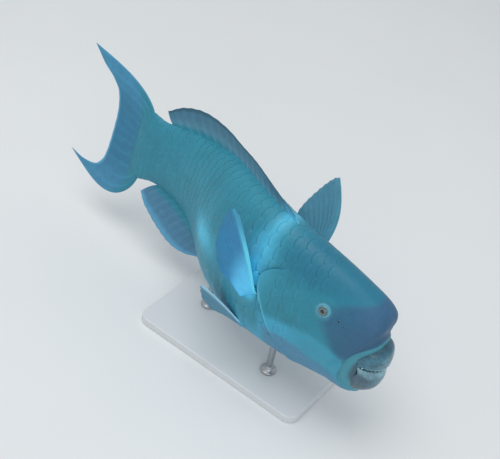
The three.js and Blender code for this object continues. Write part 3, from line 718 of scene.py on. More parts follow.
def make_skin():
    """Rows to points, lifted by the relief, and closed at the mouth's floor and at the tail stem."""
    s, n, z, lift, m = skin_rows()
    turn = np.broadcast_to(TURN, s.shape)
    height = np.where(m < 0, 0.0, relief(s, n, z)) + lift
    height = height + np.where(m < BEHIND_MUZZLE, lip_relief(m, height_share(turn)), 0.0)
    base = place(s, n, z)
    points = base + normals_of(base) * (height * METRES)[..., None]
    tints = np.concatenate([skin_tint(s, z, m, turn).reshape(-1, 3), [MOUTH_INSIDE, STEM]])
    uv = np.stack(np.meshgrid(np.linspace(0, 1, AROUND + 1), np.linspace(0, 1, len(s))), axis=-1)
    ends = np.array([place(*MOUTH_FLOOR), place(*TRUNK_CAP)])
    return tube_piece("skin", points, ends, uv, tint=tints)


fish_skin = make_skin()
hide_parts("head", "torso", "tail_stem")
skin.put_on(fish_skin)

# %% [markdown]
# The scales are large and round, in oblique rows, each over the roots of the next ones behind it.
# One small plate, repeated on the skin with its root sunk and its rear edge raised, makes them
# real relief that catches the light. A bump map could draw them, but not their overlap at a
# grazing angle.

# %% Where the scales are
SCALE_ROWS = 24
SCALES_START = 88.0
SCALES_END = 433.0
SCALE_PITCH = curve_through([(60, 9.5), (130, 11.8), (220, 12.4), (320, 11.2), (400, 9.0), (450, 8.0)])
SCALE_JITTER = 0.35
SCALE_REACH = 0.025
GIRTH_AT = 200.0
FLAP_COVERS_FROM = 0.6
GAP_BEFORE_GILL = 9
GAP_BEHIND_GILL = 1
BARE_ROUND_EYE = 24
BARE_ROUND_FIN = 7
FIN_ROOTS_FROM = 20
BARE_THROAT = (150, -34)
BARE_CHEEK = (104, 0)
rng = np.random.default_rng(11)


def even_turns():
    """The turn at each share of the way round a ring, measured along its arc from the belly."""
    fine = np.linspace(-np.pi / 2, 1.5 * np.pi, 2881)
    across, upward = ring_point(trunk_ring(np.full(fine.shape, GIRTH_AT)), fine)[1:]
    arc = np.concatenate([[0], np.cumsum(np.hypot(np.diff(across), np.diff(upward)))])
    return arc / arc[-1], fine


ARC_SHARE, ARC_TURN = even_turns()


def turn_at(share):
    return np.interp(share % 1.0, ARC_SHARE, ARC_TURN)


def scale_columns():
    """Distances of the columns of scales, each one pitch after the last, smaller towards the tail."""
    places = [SCALES_START]
    while places[-1] < SCALES_END:
        places.append(places[-1] + float(SCALE_PITCH(places[-1])))
    return np.array(places)


def scale_centres():
    """Distance, share of the girth, height and pitch of each scale, and whether it is on the head: a
    grid whose every other column is half a row on, without the eye, the throat, the front of the
    cheek, the fins' roots and a strip along the gill edge."""
    columns = scale_columns()
    column, row = np.meshgrid(np.arange(len(columns)), np.arange(SCALE_ROWS), indexing="ij")
    s = columns[column].ravel() + rng.uniform(-SCALE_JITTER, SCALE_JITTER, column.size)
    share = ((row + 0.5 * (column % 2)) / SCALE_ROWS).ravel() % 1.0
    turn = turn_at(share)
    beside = share[:, None] + np.array([-SCALE_REACH, 0, SCALE_REACH])
    gill = gill_line(height_share(turn_at(beside))).min(axis=1)
    n, z = ring_point(trunk_ring(s), turn)[1:]
    on_head = s < gill - GAP_BEFORE_GILL
    keep = on_head | (s > gill + GAP_BEHIND_GILL) | (gill_lift(turn) <= FLAP_COVERS_FROM)
    keep &= np.hypot(s - EYE["s"], z - EYE["z"]) >= BARE_ROUND_EYE
    keep &= (distance_to(PECTORAL_ROOT, s, z) >= BARE_ROUND_FIN) | (np.abs(n) <= FIN_ROOTS_FROM)
    for bare_to, bare_below in (BARE_THROAT, BARE_CHEEK):
        keep &= (s >= bare_to) | (z >= bare_below)
    return [a[keep] for a in (s, share, z, SCALE_PITCH(s), on_head)]


print("columns of scales:", len(scale_columns()))

# %% [markdown]
# The plate of one scale is a grid of rows from its sunk root to its round rear edge, and a last row
# folds down as its rim. One point below closes it. A scale could be one flat polygon, but then its
# raised edge would have no thickness to catch the light.

# %% The coat of scales
SCALE_ALONG = 8
SCALE_ACROSS = 9
SCALE_LIFT = 0.3
SCALE_SUNK = 0.42
SCALE_ROOT = 0.8
SCALE_REAR = 0.6
SCALE_HALF_WIDTH = 0.6
SCALE_RIM = 0.35
SCALE_DEPTH = 2.2
SCALE_ROUNDNESS = 0.86
SCALE_OVERHANG = 0.012
ROOT_SHADE = 0.12
RIM_GAIN = 1.12
RIM_WHITE = 0.006
RIM_SHARE = 0.7
# The mean girth in mm, which turns rows into heights on the flank.
SCALE_VARIES = (0.9, 1.1)
TONE_VARIES = (0.95, 1.05)
HEAD_SCALE_SIZE = 0.86
HEAD_SCALE_LIFT = 0.4
UNDER_FLAP_FROM = (0.05, 0.4)
OUT_OF_FLAP = (1.5, 6)
UNDER_FLAP_DEPTH = 1.2
COAT_ENDS = (SCALES_END - 4, SCALES_END + 6)
GIRTH = 400
# The lateral line's height in front and at the rear, where it falls, and its tubes on the scales.
LINE_HEIGHT = (26.0, 6.0)
LINE_FALLS = (150, 330)
LINE_TUBE = {"rise": 0.35, "width": 0.13, "starts": (0.25, 0.5), "ends": (0.8, 0.97)}
BAKE_PATCH = 0.003


def surface(s, share):
    """Point, outward normal, n, z and turn of the plain body at a distance and a share of the girth;
    the normal is the cross product of two small steps."""
    turn = turn_at(share)
    here = ring_point(trunk_ring(s), turn)
    step_s, step_turn = 0.6, 0.012
    back = place(*ring_point(trunk_ring(s + step_s), turn)) - place(*ring_point(trunk_ring(s - step_s), turn))
    ring = trunk_ring(s)
    round_ = place(*ring_point(ring, turn + step_turn)) - place(*ring_point(ring, turn - step_turn))
    normal = np.cross(back, round_)
    normal /= np.linalg.norm(normal, axis=-1, keepdims=True)
    normal *= np.sign(np.sum(normal * (place(*here) - place(s, 0, 0)), axis=-1, keepdims=True))
    return place(*here), normal, here[1], here[2], turn


def scale_plate():
    """Length, width and rise of one scale over its rows, in pitches, rows and mm, with each row's
    share of the length: the rear is round as the root of 1 - r across^2, and the rise goes with
    the 0.75th power of the share and sinks at the sides."""
    along = np.linspace(0, 1, SCALE_ALONG)[:, None]
    across = np.linspace(-1, 1, SCALE_ACROSS)[None, :]
    rear = SCALE_REAR * np.sqrt(np.clip(1 - SCALE_ROUNDNESS * across ** 2, 0, 1))
    back = -SCALE_ROOT + along * (rear + SCALE_ROOT)
    wide = SCALE_HALF_WIDTH * across * (0.75 + 0.25 * np.sin(np.pi * np.clip(along * 1.15, 0, 1) / 2))
    rise = -SCALE_SUNK + (SCALE_LIFT + SCALE_SUNK) * along ** 0.75 * (1 - 0.5 * across ** 4)
    back = np.concatenate([back, back[-1:] - SCALE_OVERHANG])
    wide = np.concatenate([wide, wide[-1:]])
    rise = np.concatenate([rise, 0 * rise[-1:] - SCALE_RIM])
    return back, wide, rise, np.concatenate([along, along[-1:]]), across


def scale_lift(rise, on_head, s, turn):
    """Rise over the skin: sunk where the gill cover lies over the scale, carried on the raised rear
    of the cover, and fading at the tail fin."""
    gill = gill_line(height_share(turn))
    hidden = smooth(gill_lift(turn) / GILL_FLAP, *UNDER_FLAP_FROM) * ~on_head
    hidden = hidden * (1 - smooth(s - gill, *OUT_OF_FLAP))
    lift = rise * (1 - hidden) - UNDER_FLAP_DEPTH * hidden
    lift = np.where(lift > 0, lift * (1 - smooth(s, *COAT_ENDS)), lift)
    on_cover = np.clip((s - FACE_END) / (gill - FACE_END), 0, 1)
    return lift + np.where(on_head, gill_lift(turn) * smooth(on_cover, FLAP_FROM, 1), 0)


def line_tubes(centre_s, centre_z, on_head, rows, across):
    """Small raised tubes on the scales that the lateral line runs over."""
    tube = LINE_TUBE["rise"] * bell(across, LINE_TUBE["width"])
    tube = tube * smooth(rows, *LINE_TUBE["starts"]) * (1 - smooth(rows, *LINE_TUBE["ends"]))
    off_line = np.abs(centre_z - between(LINE_HEIGHT, smooth(centre_s, *LINE_FALLS)))
    return tube * ((off_line < 0.25 * GIRTH / SCALE_ROWS) & ~on_head)


def coat_faces(count):
    """Quads over each scale's grid and a fan from its rim to the point below."""
    rows = SCALE_ALONG + 1
    last = rows - 1
    quads = grid_faces(rows, SCALE_ACROSS)
    rim = np.concatenate([np.arange(SCALE_ACROSS), np.arange(1, last) * SCALE_ACROSS + SCALE_ACROSS - 1,
                          last * SCALE_ACROSS + np.arange(SCALE_ACROSS)[::-1],
                          np.arange(1, last)[::-1] * SCALE_ACROSS])
    fan = np.stack([np.roll(rim, -1), rim, np.full(len(rim), rows * SCALE_ACROSS)], axis=1)
    first = (np.arange(count) * (rows * SCALE_ACROSS + 1))[:, None, None]
    return [(first + quads).reshape(-1, 4), (first + fan).reshape(-1, 3)]


def coat_tint(s, z, rows):
    """The markings, a little uneven from scale to scale, darker at the roots and pale at the rim."""
    tone = rng.uniform(*TONE_VARIES, len(s))[:, None, None, None]
    tint = paint(s, z) * tone * (1 - ROOT_SHADE * (1 - rows))[..., None]
    tint = np.clip(toward(tint, tint * RIM_GAIN + RIM_WHITE, RIM_SHARE * rows ** 5), 0, 1)
    return np.concatenate([tint.reshape(len(s), -1, 3), tint[:, 0, :1]], axis=1)


def make_scales():
    """The whole coat: the plate set down at each place and lifted along the body's normals."""
    centre_s, centre_share, centre_z, pitch, on_head = (a[:, None, None] for a in scale_centres())
    count = len(centre_s)
    back, wide, rise, rows, across = scale_plate()
    vary = rng.uniform(*SCALE_VARIES, centre_s.shape)
    size = np.where(on_head, HEAD_SCALE_SIZE, 1.0)
    s = centre_s + back * pitch * size
    point, normal, n, z, turn = surface(s, centre_share + wide / SCALE_ROWS * size)
    lift = scale_lift(rise * vary * np.where(on_head, HEAD_SCALE_LIFT, 1.0), on_head, s, turn)
    lift = lift + line_tubes(centre_s, centre_z, on_head, rows, across)
    points = point + normal * ((relief(s, n, z) + lift) * METRES)[..., None]
    middle = (slice(None), (SCALE_ALONG + 1) // 2, SCALE_ACROSS // 2)
    under = points[middle] - normal[middle] * (SCALE_DEPTH * METRES)
    solid = np.concatenate([points.reshape(count, -1, 3), under[:, None]], axis=1)
    tint = coat_tint(s, z, rows)
    patch = np.stack(np.broadcast_arrays(wide, back), axis=-1).reshape(1, -1, 2) * 0.5
    patch = np.concatenate([patch, patch[:, :1] * 0], axis=1) * BAKE_PATCH
    corner = np.concatenate([centre_share * 0.99 + 0.005, centre_s / TRUNK_END], axis=-1)
    bake = (corner + patch).reshape(-1, 2)
    faces = coat_faces(count)
    print("scales:", count)
    return new_piece("scales", solid, faces, uv_name="OFBake",
                     loop_uv=[bake[f] for f in faces], tint=tint.reshape(-1, 3))


scale_skin.put_on(make_scales())

# %% [markdown]
# A fin is a thin membrane stretched over rays. The rays of a soft fin fork towards the edge, so
# each ridge of the thickness splits in two on the way out. The plate is closed and a little thicker
# at its root. Separate sticks under a sheet would be closer to the anatomy, but no finer to see.

# %% Fin finish and ray pattern
def fin_finish(name, roughness):
    """Fin membrane: tint, streaks along the rays in its UV map, and a soft sheen."""
    finish = Finish(name, Roughness=roughness, Coat_Weight=0.06, Coat_Roughness=0.3, Specular_IOR_Level=0.3)
    streak = finish.spread(finish.noise(9.0, (14, 1.2, 1), "UV", detail=4.0), low=0.9, high=1.1)
    blotch = finish.spread(finish.noise(scale=120.0), low=0.94, high=1.06)
    finish.connect(finish.scaled(finish.scaled(finish.attribute("tint"), streak), blotch), "Base Color")
    finish.bump(finish.noise(40.0, (9, 1.5, 1), "UV", detail=3.0), strength=0.35, distance=0.0002)
    return finish


fin_skin = fin_finish("fin_membrane", roughness=0.5)
RAY_COLUMNS = 12
# Widths and distances of rays are shares of the gap from one ray to the next.
RAY_WIDTH = 0.15
RAY_NARROWS = 0.07
FORK_APART = 0.15
RAY_SEGMENTS = 16
SEGMENT_NOTCH = 0.22
SEGMENTS_FROM = (0.2, 0.4)
NOTCHED_FROM = 0.5
SWAY_WAVES = 1.6
SWAY_SHIFT = 0.2
EDGE_THINNING = 0.35
EDGE_STEPS = 2
RAY_SHADE = 0.18


def ray_ridge(u, v, rays, fork_from):
    """Height of the rays from 0 to 1: bells about each ray's line, which parts in two from the share
    fork_from of its length on, and shallow notches where its segments meet."""
    phase = u * (rays - 1)
    off = phase - np.round(phase)
    apart = FORK_APART * smooth(v, fork_from, 1.0)
    width = RAY_WIDTH - RAY_NARROWS * smooth(v, fork_from, 1.0)
    ridge = np.maximum(bell(off - apart, width), bell(off + apart, width))
    meeting = np.cos(2 * np.pi * RAY_SEGMENTS * v) ** 8 * smooth(v, *SEGMENTS_FROM)
    return ridge * (1 - SEGMENT_NOTCH * meeting)


def fin_piece(name, node, at, rays, rows, colour, root=0.5, edge=0.16, ridge=0.5, fork_from=0.45,
              notch=0.03, wave=0.8, start=-0.05, flesh=None):
    """A fin from at(u, v), u along its base and v out to its edge, which is notched between rays and
    waves a little to either side. root, edge and ridge are half thicknesses in mm."""
    columns = RAY_COLUMNS * (rays - 1) + 1
    v, u = np.meshgrid(np.linspace(start, 1, rows), np.linspace(0, 1, columns), indexing="ij")
    off_rays = np.sin(np.pi * u * (rays - 1)) ** 2
    middle = at(u, v * (1 - notch * off_rays * smooth(v, NOTCHED_FROM, 1)))
    normal = np.cross(np.gradient(middle, axis=0), np.gradient(middle, axis=1))
    normal /= np.linalg.norm(normal, axis=-1, keepdims=True) + 1e-12
    swing = np.sin(2 * np.pi * (SWAY_WAVES * u + SWAY_SHIFT)) * np.sin(np.pi * u) ** 0.5
    sway = wave * smooth(v, 0, 1) ** 2 * swing
    middle = middle + normal * (sway * METRES)[..., None]
    out = np.clip(v, 0, 1)
    rays_up = ray_ridge(u, out, rays, fork_from)
    half = edge + (root - edge) * (1 - np.sqrt(out)) + ridge * rays_up * (1 - 0.75 * out)
    if flesh is not None:
        half = half + flesh(u, v)
    rim = np.minimum(np.minimum(u, 1 - u) * (columns - 1), (1 - out) * (rows - 1))
    half = half * (EDGE_THINNING + (1 - EDGE_THINNING) * smooth(rim, 0, EDGE_STEPS))
    tint = colour(u, out) * (1 + RAY_SHADE * (rays_up - 0.4) * (1 - 0.5 * out))[..., None]
    uv = np.stack([u, out], axis=-1)
    piece = plate_piece(name, middle, half, np.clip(tint, 0, 1), uv)
    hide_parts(node)
    fin_skin.put_on(piece)
    return piece


# %% [markdown]
# The fins of the middle line come first. The dorsal and anal fins stand on the lines of the back and
# the belly, and a profile gives their height along the base. The tail fin runs from the end of the
# stem to a hollow rear edge between two lobes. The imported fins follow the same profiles, so these lie
# on them; rays bent one by one would be livelier, but they would leave that shape.

# %% Dorsal, anal and tail fins
DORSAL_FIN = {"from": 150, "to": 399, "rays": 19, "tilt": 0.0, "lean": [(0, 1.5), (0.5, 1), (1, 0.95)],
              "height": [(0, 5), (0.1, 10.5), (0.3, 13), (0.48, 14), (0.6, 20), (0.74, 25), (0.88, 22),
                         (1, 13)]}
ANAL_FIN = {"from": 283, "to": 399, "rays": 12, "tilt": 0.3, "lean": [(0, 0.85), (0.5, 0.8), (1, 1.1)],
            "height": [(0, 15), (0.12, 31), (0.3, 39), (0.55, 38.5), (0.8, 29), (1, 17)]}
FIN_HOLLOW = 0.12
FIN_STANDS_OFF = 0.45
CAUDAL_FIN = {
    "end_s": [(0, 553), (0.07, 530), (0.14, 508), (0.24, 494), (0.5, 486), (0.76, 488), (0.86, 500),
              (0.93, 524), (1, 551)],
    "end_z": [(0, 79.5), (0.07, 65), (0.14, 55), (0.24, 42), (0.5, 2), (0.76, -44), (0.86, -66),
              (0.93, -74), (1, -73)],
    "root_s": 430.35, "upper_bow": 14.5, "lower_bow": -36, "reach": 0.45, "power": 1.4, "along": 0.62,
    "stem_s": 430.0, "stem_share": 0.97,
}
TAIL_FLESH = 4.0
TAIL_FLESH_ENDS = 0.36
TAIL_RAYS = 13
DORSAL_INNER = srgb(88, 142, 166)
DORSAL_OUTER = srgb(66, 118, 142)
DORSAL_EDGE = srgb(48, 92, 112)
DORSAL_FRONT = srgb(92, 184, 220)
ANAL_INNER = srgb(76, 128, 158)
ANAL_EDGE = srgb(90, 158, 194)
TAIL_MIDDLE = srgb(52, 122, 156)
TAIL_OUTER = srgb(68, 140, 176)
TAIL_EDGE = srgb(98, 174, 210)


def midline_fin(fin, line, side):
    """A fin above the back or below the belly: each ray leans back in proportion to its height, and
    the profile is hollow between root and edge."""
    height = curve_through(fin["height"])
    lean = curve_through(fin["lean"])

    def at(u, v):
        h = height(u)
        rise = h * (v - FIN_HOLLOW * np.sin(np.pi * np.clip(v, 0, 1)))
        s = fin["from"] + (fin["to"] - fin["from"]) * u
        return place(s + lean(u) * h * v, -fin["tilt"] * rise, line(s) + side * (FIN_STANDS_OFF + rise))

    return at


def dorsal_colour(u, v):
    """Greyer at the root and darker outwards, the body's colour at the rear root, a pale first ray
    and a dark edge."""
    colour = toward(DORSAL_INNER + 0 * u[..., None], DORSAL_OUTER, smooth(v, 0.1, 0.8))
    colour = toward(colour, BACK, (1 - smooth(v, 0.15, 0.42)) * smooth(u, 0.5, 0.8))
    colour = toward(colour, DORSAL_FRONT, (1 - smooth(u, 0.02, 0.12)) * 0.8)
    return toward(colour, DORSAL_EDGE, smooth(v, 0.84, 0.95))


def anal_colour(u, v):
    """The body's colour at the root, and a pale edge and first ray."""
    colour = toward(ANAL_INNER + 0 * u[..., None], ANAL_EDGE, smooth(v, 0.8, 0.97))
    colour = toward(colour, FLANK, 1 - smooth(v, 0.22, 0.5))
    return toward(colour, ANAL_EDGE, 0.5 * (1 - smooth(u, 0.0, 0.1)))


def caudal_colour(u, v):
    """The stem's colour at the root, paler lobes and a pale rear edge between their tips."""
    lobes = smooth(np.abs(u - 0.5), 0.2, 0.45)
    colour = toward(TAIL_MIDDLE + 0 * u[..., None], TAIL_OUTER, lobes)
    colour = toward(colour, STEM, 1 - smooth(v, 0.1, 0.42))
    rear = smooth(v, 0.93, 0.985) * (1 - smooth(np.abs(u - 0.5), 0.36, 0.46))
    return toward(colour, TAIL_EDGE, 0.85 * rear)


def caudal_at(u, v):
    """The tail fin: straight lines from the stem's end to the rear edge, bowed outwards in the lobes."""
    fin = CAUDAL_FIN
    stem_top, stem_bottom = top_line(fin["stem_s"]), bottom_line(fin["stem_s"])
    root_z = (stem_top + (stem_bottom - stem_top) * u) * fin["stem_share"]
    upper = fin["upper_bow"] * np.clip(1 - u / fin["reach"], 0, 1) ** fin["power"]
    lower = fin["lower_bow"] * np.clip(1 - (1 - u) / fin["reach"], 0, 1) ** fin["power"]
    bow = (upper + lower) * np.sin(np.pi * np.clip(v, 0, 1) ** fin["along"])
    end_s = curve_through(fin["end_s"])(u)
    end_z = curve_through(fin["end_z"])(u)
    s = fin["root_s"] + (end_s - fin["root_s"]) * v
    return place(s, 0, root_z + (end_z - root_z) * v + bow)


def caudal_flesh(u, v):
    """Extra half thickness of the scaled root of the tail fin."""
    from_root = np.clip(1 - v / TAIL_FLESH_ENDS, 0, 1) ** 2
    return TAIL_FLESH * from_root * np.clip(4 * u * (1 - u), 0, 1) ** 0.6


fin_piece("dorsal_rays", "dorsal_fin", midline_fin(DORSAL_FIN, top_line, 1), DORSAL_FIN["rays"], rows=30,
          colour=dorsal_colour, root=0.8, ridge=0.45, fork_from=0.6, notch=0.012, start=-0.08)
fin_piece("anal_rays", "anal_fin", midline_fin(ANAL_FIN, bottom_line, -1), ANAL_FIN["rays"], rows=40,
          colour=anal_colour, root=0.8, notch=0.01)
fin_piece("tail_rays", "caudal_fin", caudal_at, TAIL_RAYS, rows=70, colour=caudal_colour, root=1.0,
          edge=0.2, ridge=0.55, fork_from=0.4, notch=0.006, wave=1.2, start=-0.04, flesh=caudal_flesh)

# %% [markdown]
# The paired fins fan out from short fleshy roots. The first ray of each is the stout leading edge,
# and the others turn from its direction to the last ray's, so that a formula of two directions and a
# length gives the whole fin.

# %% Paired fins
PECTORAL_SHAPE = [(0, 0.92), (0.08, 1), (0.25, 0.93), (0.5, 0.76), (0.75, 0.58), (0.92, 0.45), (1, 0.34)]
# The directions of the first and last rays are (back, out, up); grey is the share of painted shade
# grey, which dulls the left fin into a shaded copy of the right.
PECTORALS = {
    "right": {"side": -1, "first": (39, 5, 103), "last": (50, 8, 42), "forward": 1, "grey": 0.0},
    "left": {"side": 1, "first": (16, 62, 88), "last": (56, 40, 30), "forward": 17, "grey": 0.88},
}
PECTORAL_LENGTH = 110.0
PECTORAL_RAYS = 15
PECTORAL_BOW = 0.05
PECTORAL_LIFT = 2.7
FIN_SINKS = (-0.04, 0.1)
PECTORAL_DEPTH = 7.0
PELVIC_DEPTH = 3.0
PELVIC_SHAPE = [(0, 1), (0.2, 0.97), (0.6, 0.8), (1, 0.52)]
PELVIC_FIRST = (48, 21, 41)
PELVIC_LAST = (60, 12, 8)
PELVIC_LENGTH = 66.0
PELVIC_RAYS = 6
PELVIC_BOW = -0.09
PELVIC_OUT = 0.8
PELVIC_DOWN = 2
PECTORAL_TIP = srgb(50, 132, 176)
PECTORAL_MIDDLE = srgb(52, 136, 184)
# A bright base and leading edge: the edge is pale of its own, and both are brightened with painted light
# where light falls on the fin.
PECTORAL_LIT_BASE = srgb(98, 206, 252)
PECTORAL_PALE_AND_LIT_EDGE = srgb(104, 226, 255)
# Painted shade: the grey that dulls the left fin into a shaded copy of the right.
PECTORAL_SHADE_GREY = srgb(92, 150, 170)
PELVIC_TONE = srgb(80, 138, 164)
PELVIC_EDGE = srgb(150, 206, 230)


def direction(parts, s, side):
    """Direction of (back, out, up) at a distance, turned by the midline's heading there."""
    back, out, upward = parts
    heading = np.interp(s, STEPS, HEADING)
    vector = np.array([-back * np.cos(heading) - side * out * np.sin(heading),
                       -back * np.sin(heading) + side * out * np.cos(heading), upward])
    return vector / np.linalg.norm(vector)


def fan(root, first, last, length, shape, bow, inwards, forward=0.0):
    """A fin whose rays turn from the first direction to the last; bow bends it square to both by the
    square of v, inwards sinks its root into the body, and forward pushes its leading edge ahead in a
    half wave."""
    reach = curve_through(shape)
    flat = np.cross(first, last)
    flat /= np.linalg.norm(flat)
    ahead = first - last
    ahead /= np.linalg.norm(ahead)

    def at(u, v):
        along = first + (last - first) * u[..., None]
        along /= np.linalg.norm(along, axis=-1, keepdims=True)
        out = (length * reach(u) * v)[..., None] * along
        flex = (bow * length * v * v)[..., None] * flat
        swing = (forward * np.sin(np.pi * np.clip(v, 0, 1)) * (1 - u))[..., None] * ahead
        sunk = (1 - smooth(v, *FIN_SINKS))[..., None] * inwards
        return root(u) + (out + flex + swing + sunk) * METRES

    return at


def pectoral_root(side):
    """The fin's base, a straight line just off the flank, as a function of u."""
    (front_s, front_z), (back_s, back_z) = PECTORAL_ROOT

    def root(u):
        s = front_s + (back_s - front_s) * u
        z = front_z + (back_z - front_z) * u
        return place(s, side * (flank_width(s, z) + PECTORAL_LIFT), z)

    return root


def pelvic_root(side):
    """The fin's base on the underside, at the height of the body's ring at its n."""
    (front_s, front_n), (back_s, back_n) = PELVIC_ROOT

    def root(u):
        s = front_s + (back_s - front_s) * u
        n = front_n + (back_n - front_n) * u
        half = (top_line(s) - bottom_line(s)) / 2
        z = bottom_line(s) + half - half * (1 - (n / width_line(s)) ** SECTION_POWER) ** (1 / SECTION_POWER)
        return place(s, side * (n + PELVIC_OUT), z - PELVIC_DOWN)

    return root


def pectoral_colour(u, v):
    """A base painted bright with the light falling on it, a deeper blue out to the tip, and a leading edge
    that is pale of its own and brightened with painted light.
    """
    colour = toward(PECTORAL_LIT_BASE + 0 * u[..., None], PECTORAL_MIDDLE, smooth(v, 0.22, 0.64))
    colour = toward(colour, PECTORAL_TIP, smooth(v, 0.6, 1))
    return toward(colour, PECTORAL_PALE_AND_LIT_EDGE, (1 - smooth(u, 0.06, 0.15)) * (1 - 0.75 * smooth(v, 0.45, 0.9)))


def pelvic_colour(u, v):
    """A pale leading edge on one plain colour."""
    return toward(PELVIC_TONE + 0 * u[..., None], PELVIC_EDGE, 1 - smooth(u, 0.08, 0.22))


for name, fin in PECTORALS.items():
    first, last = (direction(fin[key], PECTORAL_ROOT[0][0], fin["side"]) for key in ("first", "last"))
    at = fan(pectoral_root(fin["side"]), first, last, PECTORAL_LENGTH, PECTORAL_SHAPE, PECTORAL_BOW,
             direction((0, -1, 0), PECTORAL_ROOT[0][0], fin["side"]) * PECTORAL_DEPTH, fin["forward"])
    # The left fin is mostly painted shade grey, a shaded copy of the right fin.
    grey = fin["grey"]
    fin_piece(f"pectoral_rays_{name}", f"pectoral_fin_{name}", at, PECTORAL_RAYS, rows=56,
              colour=lambda u, v: toward(pectoral_colour(u, v), PECTORAL_SHADE_GREY, grey + 0 * u),
              root=0.6, ridge=0.5, fork_from=0.4, notch=0.008, wave=1.4, start=-0.05)
    first, last = (direction(parts, PELVIC_ROOT[0][0], fin["side"]) for parts in (PELVIC_FIRST, PELVIC_LAST))
    at = fan(pelvic_root(fin["side"]), first, last, PELVIC_LENGTH, PELVIC_SHAPE, PELVIC_BOW * fin["side"],
             np.array([0, 0, PELVIC_DEPTH]))
    fin_piece(f"pelvic_rays_{name}", f"pelvic_fin_{name}", at, PELVIC_RAYS, rows=44, colour=pelvic_colour,
              root=0.7, ridge=0.55, notch=0.02, start=-0.03)

# %% [markdown]
# The beak is two bowed plates of fused teeth, grey-green and hard, with a pale cutting edge. Each is
# a profile wrapped round the jaw. Low rounded tiles near the edge show where the teeth grew, and a
# short pointed tooth stands at each corner of the upper plate.

# %% Beak
BEAK_SPREAD = 1.36
BEAK_THICK = 2.2
BEAK_ROWS = 64
BEAK_COLUMNS = 168
FLANK_POWER = 2.5
SCALLOP = 0.022
TILE_RISE = 0.3
RIB_RISE = 0.14
BEAK_PLATES = {
    "upper": {"half_width": 25, "depth": 29, "sides": (-8, -15.5),
              "profile": [(17, 7), (9, 3), (6.6, -6), (6.8, -18.5)]},
    "lower": {"half_width": 22, "depth": 25, "sides": (-20.5, -44),
              "profile": [(10.4, -24.5), (8, -36), (11.4, -51), (23, -62.5)]},
}
TEETH_AROUND = 17
TEETH_ALONG = 7
BEAK_TONE = srgb(54, 112, 134)
BEAK_DARK = srgb(44, 88, 106)
BEAK_LIGHT = srgb(88, 146, 164)
BEAK_EDGE = srgb(138, 188, 204)
BEAK_BROWN = srgb(62, 92, 108)
TOOTH_TONE = srgb(222, 230, 224)
# A corner tooth: its place on the plate, its root and bend in mm, and the slant of its length.
TOOTH = {"length": 4.6, "radius": 1.5, "from_middle": 0.4, "down": 0.82, "root": 1.2, "bend": 1.5,
         "slant": 0.75, "wide": 0.8, "deep": 0.5, "taper": 0.985, "rings": 14, "sides": 20}


def beak_finish():
    """Hard enamel: tint, long streaks from root to edge and a clear gloss."""
    finish = Finish("beak_enamel", Roughness=0.28, Coat_Weight=0.3, Coat_Roughness=0.12)
    streak = finish.spread(finish.noise(7.0, (9, 1.3, 1), "UV", detail=4.0), low=0.76, high=1.2)
    stain = finish.spread(finish.noise(150.0, detail=4.0, roughness=0.65), low=0.62, high=1.3)
    tint = finish.scaled(finish.scaled(finish.attribute("tint"), streak), stain)
    finish.connect(tint, "Base Color")
    finish.bump(finish.noise(16.0, (9, 2, 1), "UV", detail=4.0), strength=0.4, distance=0.00025)
    return finish


def beak_middle(plate, u, v):
    """Middle surface: the profile at v, its depth falling back by 1 - cos of the turn about the jaw,
    its height drifting to the side heights near the corners."""
    profile = plate["profile"]
    steps = np.linspace(0, 1, len(profile))
    along_s = curve_through(list(zip(steps, [p[0] for p in profile])))
    along_z = curve_through(list(zip(steps, [p[1] for p in profile])))
    turn = BEAK_SPREAD * (2 * u - 1)
    flank = np.abs(2 * u - 1) ** FLANK_POWER
    side_z = plate["sides"][0] + (plate["sides"][1] - plate["sides"][0]) * v
    z = along_z(v) * (1 - flank) + side_z * flank
    return along_s(v) + plate["depth"] * (1 - np.cos(turn)), plate["half_width"] * np.sin(turn), z


